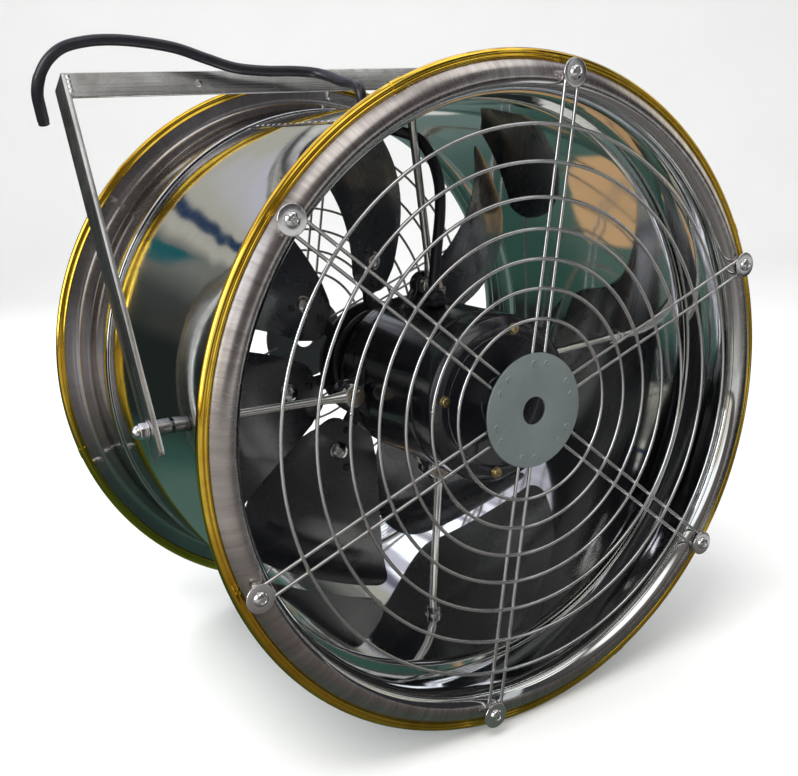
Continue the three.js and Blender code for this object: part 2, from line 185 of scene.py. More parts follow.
def tube(path, r, seg=12, closed=False):
    """a round bar along a path; r is a number or one value for each point"""
    P = np.asarray(path, float)
    n = len(P)
    R = np.full(n, float(r)) if np.isscalar(r) else np.asarray(r, float)
    if closed:
        T = np.roll(P, -1, 0) - np.roll(P, 1, 0)
    else:
        T = np.gradient(P, axis=0)
    T = T / np.linalg.norm(T, axis=1, keepdims=True)
    ref = np.array([0, 0, 1.0]) if abs(T[0][2]) < 0.9 else np.array([1.0, 0, 0])
    N = np.cross(T[0], ref)
    N /= np.linalg.norm(N)
    frames = [N]
    for i in range(1, n):
        N = frames[-1] - T[i] * (frames[-1] @ T[i])
        N /= np.linalg.norm(N)
        frames.append(N)
    twist = 0.0
    if closed:
        N = frames[-1] - T[0] * (frames[-1] @ T[0])
        N /= np.linalg.norm(N)
        twist = math.atan2(np.cross(N, frames[0]) @ T[0], N @ frames[0])
    v, f = [], []
    for i in range(n):
        B = np.cross(T[i], frames[i])
        w = twist * i / n
        for k in range(seg):
            a = 2 * math.pi * k / seg + w
            v.append(P[i] + R[i] * (math.cos(a) * frames[i] + math.sin(a) * B))
    m = n if closed else n - 1
    for i in range(m):
        j = (i + 1) % n
        for k in range(seg):
            k2 = (k + 1) % seg
            f.append((i * seg + k, i * seg + k2, j * seg + k2, j * seg + k))
    if not closed:
        for i, flip in ((0, True), (n - 1, False)):
            c = len(v)
            v.append(P[i])
            for k in range(seg):
                k2 = (k + 1) % seg
                q = (i * seg + k, i * seg + k2, c)
                f.append(q[::-1] if flip else q)
    return np.array(v), f


def loft(layers, cap=True):
    """closed skin over layers of equal-length closed outlines"""
    n = len(layers[0])
    v = np.vstack([np.asarray(q, float) for q in layers])
    f = []
    for i in range(len(layers) - 1):
        for k in range(n):
            k2 = (k + 1) % n
            f.append((i * n + k, i * n + k2, (i + 1) * n + k2, (i + 1) * n + k))
    if cap:
        c0 = len(v)
        v = np.vstack([v, np.mean(layers[0], 0), np.mean(layers[-1], 0)])
        last = (len(layers) - 1) * n
        for k in range(n):
            k2 = (k + 1) % n
            f.append((k2, k, c0))
            f.append((last + k, last + k2, c0 + 1))
    return v, f


def prism(outline, z0, z1, edge=0.8, steps=3):
    """an outline in x, y raised along z, its rims rounded"""
    o = np.asarray(outline, float)
    c = o.mean(0)
    rad = np.linalg.norm(o - c, axis=1).mean()
    layers = []
    e = min(edge, abs(z1 - z0) * 0.45)
    s = 1 if z1 > z0 else -1

    def layer(inset, z):
        q = c + (o - c) * (1 - inset / rad)
        return np.column_stack([q, np.full(len(q), z)])

    for k in range(steps + 1):
        t = k / steps * math.pi / 2
        layers.append(layer(e * (1 - math.sin(t)), z0 + s * e * (1 - math.cos(t))))
    for k in range(steps + 1):
        t = k / steps * math.pi / 2
        layers.append(layer(e * (1 - math.cos(t)), z1 - s * e * (1 - math.sin(t))))
    return loft(layers)


def hexagon(af, n_corner=3, r=0.6):
    rad = af / math.sqrt(3)
    pts = [(rad * math.cos(math.pi / 3 * k), rad * math.sin(math.pi / 3 * k)) for k in range(6)]
    return rounded(pts, r, n_corner)


def bevel_box(x0, x1, y0, y1, z0, z1, e=0.8, n=3):
    """a bar with rounded edges: rounded outline in x, y raised along z"""
    out = rounded([(x0, y0), (x1, y0), (x1, y1), (x0, y1)], e, n)
    cx, cy = (x0 + x1) / 2, (y0 + y1) / 2
    o = np.asarray(out)
    layers = []
    for k in range(n + 1):
        t = k / n * math.pi / 2
        ins = e * (1 - math.sin(t))
        q = o.copy()
        q[:, 0] = cx + (o[:, 0] - cx) * (1 - 2 * ins / abs(x1 - x0))
        q[:, 1] = cy + (o[:, 1] - cy) * (1 - 2 * ins / abs(y1 - y0))
        layers.append(np.column_stack([q, np.full(len(q), z0 + e * (1 - math.cos(t)))]))
    for k in range(n + 1):
        t = k / n * math.pi / 2
        ins = e * (1 - math.cos(t))
        q = o.copy()
        q[:, 0] = cx + (o[:, 0] - cx) * (1 - 2 * ins / abs(x1 - x0))
        q[:, 1] = cy + (o[:, 1] - cy) * (1 - 2 * ins / abs(y1 - y0))
        layers.append(np.column_stack([q, np.full(len(q), z1 - e * (1 - math.sin(t)))]))
    return loft(layers)


def build(name, geo, material, body, replaces=(), sharp=32, ride=True):
    """one finished piece from geometry in mm"""
    v, f = (geo.v, geo.f) if isinstance(geo, Geo) else geo
    me = D.meshes.new(name)
    me.from_pydata((np.asarray(v) / 1000 + PIV).tolist(), [], [list(q) for q in f])
    me.validate()
    import bmesh
    bm = bmesh.new()
    bm.from_mesh(me)
    bmesh.ops.remove_doubles(bm, verts=bm.verts, dist=2e-6)
    bmesh.ops.recalc_face_normals(bm, faces=bm.faces)
    bm.to_mesh(me)
    bm.free()
    me.shade_smooth()
    me.set_sharp_from_angle(angle=sharp * DEG)
    me.update()
    o = D.objects.new(name, me)
    bpy.context.scene.collection.objects.link(o)
    me.materials.append(material)
    if ride:
        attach(o, body)
    if replaces:
        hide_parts(*replaces)
    return o


# ------------------------------------------------------------------ materials


class N:
    """short hand for a material's node tree"""

    def __init__(self, tree):
        self.t = tree
        tree.nodes.clear()

    def node(self, kind, **kw):
        n = self.t.nodes.new(kind)
        for k, val in kw.items():
            setattr(n, k, val)
        return n

    def put(self, sock, val):
        if isinstance(val, bpy.types.NodeSocket):
            self.t.links.new(val, sock)
        elif isinstance(val, (tuple, list)) and len(val) == 3 and sock.type == "RGBA":
            sock.default_value = (*val, 1)
        else:
            sock.default_value = val

    def math(self, op, a, b=None, c=None, clamp=False):
        n = self.node("ShaderNodeMath", operation=op, use_clamp=clamp)
        self.put(n.inputs[0], a)
        if b is not None:
            self.put(n.inputs[1], b)
        if c is not None:
            self.put(n.inputs[2], c)
        return n.outputs[0]

    def xyz(self, vec):
        n = self.node("ShaderNodeSeparateXYZ")
        self.put(n.inputs[0], vec)
        return n.outputs

    def vec(self, x, y, z):
        n = self.node("ShaderNodeCombineXYZ")
        for i, s in enumerate((x, y, z)):
            self.put(n.inputs[i], s)
        return n.outputs[0]

    def scale(self, vec, k):
        n = self.node("ShaderNodeVectorMath", operation="MULTIPLY")
        self.put(n.inputs[0], vec)
        n.inputs[1].default_value = k if hasattr(k, "__len__") else (k, k, k)
        return n.outputs[0]

    def sub(self, vec, k):
        n = self.node("ShaderNodeVectorMath", operation="SUBTRACT")
        self.put(n.inputs[0], vec)
        n.inputs[1].default_value = k
        return n.outputs[0]

    def noise(self, vec, scale, detail=2, rough=0.5, distort=0.0):
        n = self.node("ShaderNodeTexNoise")
        self.put(n.inputs["Vector"], vec)
        n.inputs["Scale"].default_value = scale
        n.inputs["Detail"].default_value = detail
        n.inputs["Roughness"].default_value = rough
        n.inputs["Distortion"].default_value = distort
        return n.outputs[0]

    def voronoi(self, vec, scale, feature="F1"):
        n = self.node("ShaderNodeTexVoronoi", feature=feature)
        self.put(n.inputs["Vector"], vec)
        n.inputs["Scale"].default_value = scale
        return n.outputs[0]

    def ramp(self, fac, a, b, lo=0.0, hi=1.0):
        """map fac from a..b to lo..hi, clamped"""
        n = self.node("ShaderNodeMapRange", clamp=True)
        self.put(n.inputs[0], fac)
        for i, val in zip((1, 2, 3, 4), (a, b, lo, hi)):
            self.put(n.inputs[i], val)
        return n.outputs[0]

    def mix(self, fac, a, b):
        n = self.node("ShaderNodeMix", data_type="RGBA")
        self.put(n.inputs[0], fac)
        self.put(n.inputs[6], a)
        self.put(n.inputs[7], b)
        return n.outputs[2]

    def bump(self, height, dist, strength=1.0, normal=None):
        n = self.node("ShaderNodeBump")
        self.put(n.inputs["Height"], height)
        n.inputs["Distance"].default_value = dist
        n.inputs["Strength"].default_value = strength
        if normal is not None:
            self.put(n.inputs["Normal"], normal)
        return n.outputs[0]

    def surface(self, **kw):
        b = self.node("ShaderNodeBsdfPrincipled")
        names = {"color": "Base Color", "metal": "Metallic", "rough": "Roughness", "normal": "Normal", "coat": "Coat Weight",
                 "coat_rough": "Coat Roughness", "spec": "Specular IOR Level", "aniso": "Anisotropic", "tangent": "Tangent", "sheen": "Sheen Weight", "tint": "Specular Tint"}
        for k, val in kw.items():
            self.put(b.inputs[names[k]], val)
        out = self.node("ShaderNodeOutputMaterial")
        self.t.links.new(b.outputs[0], out.inputs[0])
        return b

    def object(self):
        return self.node("ShaderNodeTexCoord").outputs["Object"]

    def polar(self):
        """angle round the fan axis in turns of one radian, radius and y, in metres"""
        x, y, z = self.xyz(self.sub(self.object(), tuple(PIV)))
        a = self.math("ARCTAN2", x, z)
        r = self.math("SQRT", self.math("ADD", self.math("MULTIPLY", x, x), self.math("MULTIPLY", z, z)))
        return a, r, y

    def ring(self, a, r, y, ka, kr, ky):
        """noise space round the axis without a seam: the angle as a point on a circle"""
        ca = self.math("MULTIPLY", self.math("COSINE", a), ka)
        sa = self.math("MULTIPLY", self.math("SINE", a), ka)
        rr = self.math("ADD", self.math("MULTIPLY", r, kr), self.math("MULTIPLY", y, ky))
        return self.vec(ca, sa, rr)


def material(name):
    m = D.materials.new(name)
    m.use_nodes = True
    return m, N(m.node_tree)


def mirror_material(name, wave=1.0, base=(0.80, 0.815, 0.80), rough=0.035, tint=(0.70, 0.72, 0.69)):
    m, n = material(name)
    p = n.object()
    a, r, y = n.polar()
    slow = n.noise(p, 5.0, 2, 0.5, 0.4)
    mid = n.noise(n.scale(p, (1, 0.6, 1)), 16.0, 2, 0.5)
    line = n.noise(n.ring(a, r, y, 1.2, 0, 260.0), 1.0, 3, 0.6)
    smudge = n.ramp(n.noise(p, 9.0, 4, 0.6, 1.0), 0.50, 0.72)
    speck = n.ramp(n.noise(p, 420.0, 1, 0.5), 0.66, 0.80)
    rgh = n.math("ADD", rough, n.math("MULTIPLY", smudge, 0.055))
    rgh = n.math("ADD", rgh, n.math("MULTIPLY", line, 0.035))
    rgh = n.math("ADD", rgh, n.math("MULTIPLY", speck, 0.10))
    col = n.mix(n.math("MULTIPLY", smudge, 0.6), base, tint)
    h = n.bump(slow, 0.005 * wave, 0.30)
    h = n.bump(mid, 0.0003 * wave, 0.25, h)
    h = n.bump(line, 0.00003, 0.3, h)
    n.surface(color=col, metal=1.0, rough=rgh, normal=h)
    return m


def flare_material(name, edge, tone, bright, dirt, rough, polished, wave, marks=1.0):
    """spun sheet: satin with fine cross marks outside the radius edge, polished inside it"""
    m, n = material(name)
    p = n.object()
    a, r, y = n.polar()
    skirt = n.ramp(r, edge + 0.0009, edge - 0.0009)
    fine = n.noise(n.ring(a, r, y, 150.0, 10.0, 10.0), 1.0, 3, 0.65)
    cross = n.noise(n.ring(a, r, y, 46.0, 5.0, 5.0), 1.0, 4, 0.6)
    patch = n.noise(p, 12.0, 4, 0.6, 0.6)
    slow = n.noise(p, 5.0, 2, 0.5, 0.4)
    hoop = n.noise(n.ring(a, r, y, 2.0, 420.0, 420.0), 1.0, 2, 0.5)
    nick = n.ramp(n.noise(n.ring(a, r, y, 90.0, 60.0, 60.0), 1.0, 2, 0.5), 0.68, 0.76)
    satin = n.ramp(n.math("ADD", n.math("MULTIPLY", fine, 0.55), n.math("MULTIPLY", patch, 0.45)), 0.3, 0.72, rough[0], rough[1])
    clear = n.math("ADD", 0.04, n.math("MULTIPLY", n.ramp(patch, 0.45, 0.72), 0.05))
    rgh = n.math("ADD", n.math("MULTIPLY", satin, n.math("SUBTRACT", 1.0, skirt)), n.math("MULTIPLY", clear, skirt))
    col = n.mix(n.ramp(cross, 0.30, 0.74), tone, bright)
    col = n.mix(n.math("MULTIPLY", n.ramp(patch, 0.48, 0.75), 0.6), col, dirt)
    col = n.mix(n.math("MULTIPLY", nick, 0.3), col, (0.85, 0.83, 0.80))
    col = n.mix(skirt, col, polished)
    flat = n.math("MULTIPLY", n.math("SUBTRACT", 1.0, skirt), marks)
    h = n.bump(n.math("MULTIPLY", fine, flat), 0.00008, 0.32)
    h = n.bump(n.math("MULTIPLY", cross, flat), 0.00014, 0.28, h)
    h = n.bump(hoop, 0.00003, 0.2, h)
    h = n.bump(slow, 0.0030 * wave, 0.25, h)
    n.surface(color=col, metal=1.0, rough=rgh, normal=h)
    return m


def gold_material(name):
    m, n = material(name)
    p = n.object()
    a, r, y = n.polar()
    wob = n.noise(n.ring(a, r, y, 5.0, 20.0, 20.0), 1.0, 3, 0.6, 0.5)
    stripe = n.noise(n.ring(a, r, y, 1.5, 700.0, 700.0), 1.0, 2, 0.5)
    scuff = n.ramp(n.noise(p, 60.0, 4, 0.65), 0.52, 0.70)
    col = n.mix(n.ramp(wob, 0.35, 0.68), (0.95, 0.655, 0.085), (0.78, 0.455, 0.040))
    col = n.mix(n.math("MULTIPLY", scuff, 0.4), col, (0.50, 0.33, 0.06))
    rgh = n.math("ADD", n.ramp(stripe, 0.3, 0.7, 0.06, 0.13), n.math("MULTIPLY", scuff, 0.10))
    h = n.bump(wob, 0.0010, 0.30)
    h = n.bump(stripe, 0.00012, 0.4, h)
    n.surface(color=col, metal=1.0, rough=rgh, normal=h)
    return m


def metal_material(name, base, dark, rough=(0.2, 0.36), scale=120.0, bump=0.00015, metal=1.0, coat=0.0, grime=0.4, stretch=(1, 1, 1), spec=0.5):
    m, n = material(name)
    p = n.object()
    q = n.scale(p, stretch)
    f = n.noise(q, scale, 3, 0.6)
    big = n.noise(p, scale * 0.12, 4, 0.6, 0.5)
    spots = n.ramp(n.noise(p, scale * 2.7, 2, 0.5), 0.62, 0.74)
    col = n.mix(n.math("MULTIPLY", n.ramp(big, 0.40, 0.72), grime), base, dark)
    col = n.mix(n.math("MULTIPLY", spots, grime * 0.5), col, dark)
    rgh = n.ramp(n.math("ADD", n.math("MULTIPLY", f, 0.6), n.math("MULTIPLY", big, 0.4)), 0.32, 0.70, rough[0], rough[1])
    h = n.bump(f, bump, 0.5)
    h = n.bump(big, bump * 4, 0.25, h)
    n.surface(color=col, metal=metal, rough=rgh, normal=h, coat=coat, coat_rough=0.08, spec=spec)
    return m


def enamel_material(name, base, dust, rough=(0.10, 0.22), coat=0.6, metal=0.0, peel=0.00025, dusty=0.25, spec=0.5):
    m, n = material(name)
    p = n.object()
    orange = n.noise(p, 260.0, 2, 0.5)
    grime = n.noise(p, 22.0, 5, 0.65, 0.8)
    flecks = n.ramp(n.noise(p, 700.0, 1, 0.5), 0.68, 0.80)
    geo = n.node("ShaderNodeNewGeometry")
    up = n.ramp(n.xyz(geo.outputs["Normal"])[2], -0.1, 1.0)
    amount = n.math("MULTIPLY", n.ramp(grime, 0.42, 0.78), n.math("ADD", n.math("MULTIPLY", up, 0.7), 0.3))
    amount = n.math("MULTIPLY", amount, dusty)
    amount = n.math("ADD", amount, n.math("MULTIPLY", flecks, dusty * 0.35), clamp=True)
    col = n.mix(amount, base, dust)
    rgh = n.math("ADD", n.ramp(grime, 0.3, 0.7, rough[0], rough[1]), n.math("MULTIPLY", amount, 0.4))
    h = n.bump(orange, peel, 0.5)
    n.surface(color=col, metal=metal, rough=rgh, normal=h, coat=coat, coat_rough=0.07 if coat > 0.9 or coat < 0.8 else 0.16, spec=spec)
    return m


def rubber_material(name):
    m, n = material(name)
    p = n.object()
    f = n.noise(p, 900.0, 2, 0.6)
    g = n.noise(p, 40.0, 4, 0.6, 0.6)
    col = n.mix(n.ramp(g, 0.35, 0.72), (0.004, 0.0035, 0.006), (0.011, 0.010, 0.016))
    rgh = n.ramp(g, 0.3, 0.75, 0.28, 0.44)
    n.surface(color=col, metal=0.0, rough=rgh, normal=n.bump(f, 0.0001, 0.35), spec=0.55)
    return m


def yoke_material(name):
    m, n = material(name)
    p = n.object()
    # the bar's grain runs along x, an arm's along its own length
    geo_x = n.xyz(p)[0]
    arm = n.ramp(n.math("ABSOLUTE", geo_x), 0.2795, 0.2805)
    gx = n.noise(n.scale(p, (6, 900, 900)), 1.0, 3, 0.6)
    s, c = math.sin(LEAN * DEG), math.cos(LEAN * DEG)
    x, y, z = n.xyz(p)
    along = n.math("ADD", n.math("MULTIPLY", y, s), n.math("MULTIPLY", z, c))
    across = n.math("SUBTRACT", n.math("MULTIPLY", y, c), n.math("MULTIPLY", z, s))
    gz = n.noise(n.vec(n.math("MULTIPLY", x, 900.0), n.math("MULTIPLY", across, 900.0), n.math("MULTIPLY", along, 6.0)), 1.0, 3, 0.6)
    grain = n.math("ADD", n.math("MULTIPLY", gx, n.math("SUBTRACT", 1.0, arm)), n.math("MULTIPLY", gz, arm))
    stain = n.noise(p, 16.0, 5, 0.62, 0.8)
    blot = n.ramp(n.noise(p, 46.0, 3, 0.6, 0.4), 0.54, 0.70)
    col = n.mix(n.ramp(stain, 0.38, 0.70), (0.60, 0.605, 0.60), (0.34, 0.33, 0.31))
    col = n.mix(n.math("MULTIPLY", blot, 0.45), col, (0.33, 0.29, 0.25))
    rgh = n.math("ADD", n.ramp(grain, 0.3, 0.7, 0.22, 0.36), n.math("MULTIPLY", blot, 0.10))
    h = n.bump(grain, 0.00012, 0.4)
    h = n.bump(stain, 0.0006, 0.25, h)
    n.surface(color=col, metal=1.0, rough=rgh, normal=h)
    return m


M = {
    "drum": mirror_material("mirror_sheet", 1.0),
    "mouth_rear": flare_material("rear_mouth_sheet", 0.2682, (0.50, 0.48, 0.49), (0.60, 0.58, 0.59), (0.40, 0.38, 0.39), (0.19, 0.28), (0.66, 0.67, 0.66), 0.8, 0.12),
    "mouth_front": flare_material("front_mouth_satin", 0.2748, (0.43, 0.395, 0.375), (0.64, 0.60, 0.575), (0.35, 0.315, 0.30), (0.19, 0.31), (0.74, 0.755, 0.74), 0.35),
    "gold": gold_material("yellow_edge"),
    "wire": metal_material("guard_wire", (0.84, 0.845, 0.835), (0.52, 0.51, 0.49), (0.13, 0.24), 240.0, 0.00002, grime=0.25),
    "disc": metal_material("guard_plate", (0.205, 0.242, 0.240), (0.150, 0.178, 0.176), (0.34, 0.48), 150.0, 0.00006, metal=0.55, grime=0.55),
    "bright": metal_material("bright_hardware", (0.86, 0.865, 0.86), (0.58, 0.57, 0.55), (0.12, 0.24), 300.0, 0.00003, grime=0.25),
    "rod": metal_material("rod_steel", (0.82, 0.82, 0.80), (0.52, 0.50, 0.46), (0.14, 0.26), 170.0, 0.00003, grime=0.35, stretch=(1, 1, 1)),
    "zinc": metal_material("zinc_bolt", (0.64, 0.56, 0.44), (0.38, 0.31, 0.23), (0.20, 0.36), 260.0, 0.0001, grime=0.5),
    "brass": metal_material("brass_screw", (0.74, 0.60, 0.30), (0.40, 0.30, 0.14), (0.2, 0.36), 300.0, 0.0001, grime=0.5),
    "black": enamel_material("gloss_black", (0.0075, 0.0075, 0.0105), (0.10, 0.095, 0.09), (0.13, 0.26), 0.7),
    "hub": enamel_material("hub_black", (0.012, 0.012, 0.014), (0.09, 0.085, 0.08), (0.28, 0.42), 0.15),
    "blade": enamel_material("blade_charcoal", (0.013, 0.014, 0.019), (0.085, 0.085, 0.090), (0.22, 0.33), 0.85, 0.0, 0.00008, 0.18, 1.0),
    "rivet": metal_material("painted_rivet", (0.035, 0.036, 0.040), (0.012, 0.012, 0.013), (0.25, 0.42), 300.0, 0.0001, metal=0.3, grime=0.6),
    "rubber": rubber_material("black_rubber"),
    "yoke": yoke_material("yoke_mill_finish"),
    "steel": metal_material("ground_steel", (0.55, 0.555, 0.56), (0.30, 0.29, 0.27), (0.24, 0.40), 200.0, 0.0001, grime=0.5),
    "bush": metal_material("turned_bush", (0.36, 0.36, 0.365), (0.18, 0.175, 0.17), (0.22, 0.38), 220.0, 0.00006, grime=0.5),
    "iron": metal_material("core_laminations", (0.30, 0.30, 0.31), (0.15, 0.13, 0.12), (0.45, 0.62), 160.0, 0.0004, grime=0.6, stretch=(1, 14, 1)),
}

# ----------------------------------------------------------------------- drum
SEG = 192
y0, y1 = FRONT_Y + SKIRT - 12, REAR_Y - SKIRT + 12
ri = SHELL_R - SHEET
# The sheet is rolled and its ends lap along the drum: a small step at the
# seam that dies away over the next few centimetres, with a row of spot welds.
SEAM, LAP, FADE = -19.5, 1.15, 16.0


def lap(a, y):
    t = (a - SEAM) / FADE
    if t < 0 or t >= 1:
        return 0.0
    ends = min(1.0, max(0.0, (y - y0 - 13) / 14), max(0.0, (y1 - 13 - y) / 14))
    return LAP * (1 - t) ** 2 * ends * ends * (3 - 2 * ends)


angles = sorted([360 * k / SEG - 180 for k in range(SEG) if abs(360 * k / SEG - 180 - SEAM) > 0.4] + [SEAM - 0.03, SEAM])
rows = [y0, y0 + 0.3] + list(np.linspace(y0 + 13, y0 + 27, 5)) + list(np.linspace(y0 + 50, y1 - 50, 5)) + list(np.linspace(y1 - 27, y1 - 13, 5)) + [y1 - 0.3, y1]
v, f = [], []
for y in rows + rows[::-1]:
    out_side = len(v) < len(rows) * len(angles)
    trim_ = 0.3 if y in (y0, y1) else 0.0
    for a in angles:
        r = (SHELL_R - trim_ if out_side else ri + trim_) + lap(a, y)
        v.append((r * math.sin(a * DEG), y, r * math.cos(a * DEG)))
m_, k_ = 2 * len(rows), len(angles)
for i in range(m_):
    for k in range(k_):
        a, b = i * k_ + k, i * k_ + (k + 1) % k_
        c, d = ((i + 1) % m_) * k_ + (k + 1) % k_, ((i + 1) % m_) * k_ + k
        f.append((a, b, c, d))
shell = Geo().add((np.array(v), f))
dimple = z_up(lathe([(0, 0.34), (0.9, 0.30), (1.5, 0.16), (1.9, -0.1), (1.9, -0.5), (0, -0.5)], 14))
for y in np.arange(y0 + 32, y1 - 26, 13.0):
    shell.add(turn(move(dimple, 0, y, SHELL_R + 0.93 * LAP), SEAM + 0.75))
build("drum_shell_sheet", shell, M["drum"], "fan_body", ["drum_shell"], 50)


def mouth_profile():
    """u is the depth in from the crest; the flare falls back to a free lip"""
    a, b = SHELL_R + 0.3, SHELL_R + 0.3 + SHEET
    inner, outer = [(a, SKIRT - 0.4), (a + 0.0, MOUTH_ROUND + 6)], []
    for i in range(17):
        t = i / 16 * math.pi / 2
        inner.append((MOUTH_R - (MOUTH_R - a) * math.cos(t), MOUTH_ROUND - MOUTH_ROUND * math.sin(t)))
        outer.append((MOUTH_R - (MOUTH_R - b) * math.cos(t), MOUTH_ROUND - (MOUTH_ROUND - SHEET) * math.sin(t)))
    for i in range(1, 13):
        t, w = i / 12, LIP_R - MOUTH_R
        r, u = MOUTH_R + w * t, LIP_BACK * t ** 1.8
        slope = LIP_BACK * 1.8 * t ** 0.8 / w
        k = SHEET / math.hypot(1, slope)
        inner.append((r, u))
        outer.append((r - slope * k, u + k))
    # a swaged bead just inside the skirt's free end
    bead = [(b, MOUTH_ROUND + 6), (b, SKIRT - 15), (b + 0.12, SKIRT - 13.5), (b + 0.4, SKIRT - 11.5), (b + 0.4, SKIRT - 8.5), (b + 0.12, SKIRT - 6.5), (b, SKIRT - 5), (b, SKIRT - 0.4), (b - 0.4, SKIRT), (a + 0.4, SKIRT)]
    return inner + outer[::-1] + bead


for end, crest, s, mat in (("front", FRONT_Y, 1, "mouth_front"), ("rear", REAR_Y, -1, "mouth_rear")):
    p = [(r, crest + s * u) for r, u in mouth_profile()]
    build(f"{end}_mouth_sheet", lathe(p, SEG), M[mat], "fan_body", [f"{end}_bellmouth"], 45)

# Edge hoop: a pressed-on strip with a fine front lip, a groove and a round
# back, in three lengths whose ends lap at small raised clips.
HOOP = [(292.8, 8.5), (292.75, 7.9), (293.1, 7.3), (293.8, 6.95), (294.5, 6.9), (295.1, 7.2), (295.5, 7.62), (296.0, 7.65), (296.5, 7.2), (297.3, 7.05), (298.3, 7.35),
        (299.3, 8.05), (300.2, 9.1), (300.8, 10.3), (301.0, 11.4), (300.95, 12.5), (300.5, 13.6), (299.7, 14.5), (298.6, 15.1), (297.2, 15.35),
        (295.8, 15.25), (294.3, 14.7), (293.0, 13.7), (292.0, 12.4), (291.45, 11.2), (291.4, 10.2), (291.6, 9.7), (292.5, 9.3)]
CLIP = [(296.3 + (r - 296.3) * 1.10, 11.1 + (u - 11.1) * 1.10) for r, u in HOOP]


def arc_sweep(profile, crest, s, a0, a1, n, lift=0.0, taper=0):
    layers = []
    for i in range(n + 1):
        a = (a0 + (a1 - a0) * i / n) * DEG
        q = []
        up = lift
        for r, u in profile:
            rr = r + up
            q.append((rr * math.sin(a), crest + s * (u - up), rr * math.cos(a)))
        layers.append(q)
    return loft(layers)


for end, crest, s, joints in (("front", FRONT_Y, 1, (-22.5, 64.0, 157.5)), ("rear", REAR_Y, -1, (-43.5, 76.0, 254.0))):
    g = Geo()
    for k in range(3):
        a0, a1 = joints[k] + 0.12, joints[(k + 1) % 3] + (360 if k == 2 else 0) - 0.12
        g.add(arc_sweep(HOOP, crest, s, a0, a1, int((a1 - a0) / 1.6)))
    for a in joints:
        g.add(arc_sweep(CLIP, crest, s, a - 1.2, a + 0.9, 6))
    build(f"{end}_edge_hoop", g, M["gold"], "fan_body", [f"{end}_edge_trim"], 40)


# --------------------------------------------------------------------- guards
def nugget(r=1.7, flat=0.55):
    prof = [(0, -r * flat)] + [(r * math.sin(t), -r * flat * math.cos(t)) for t in np.linspace(0.5, math.pi - 0.5, 5)] + [(0, r * flat)]
    return lathe(prof, 8)


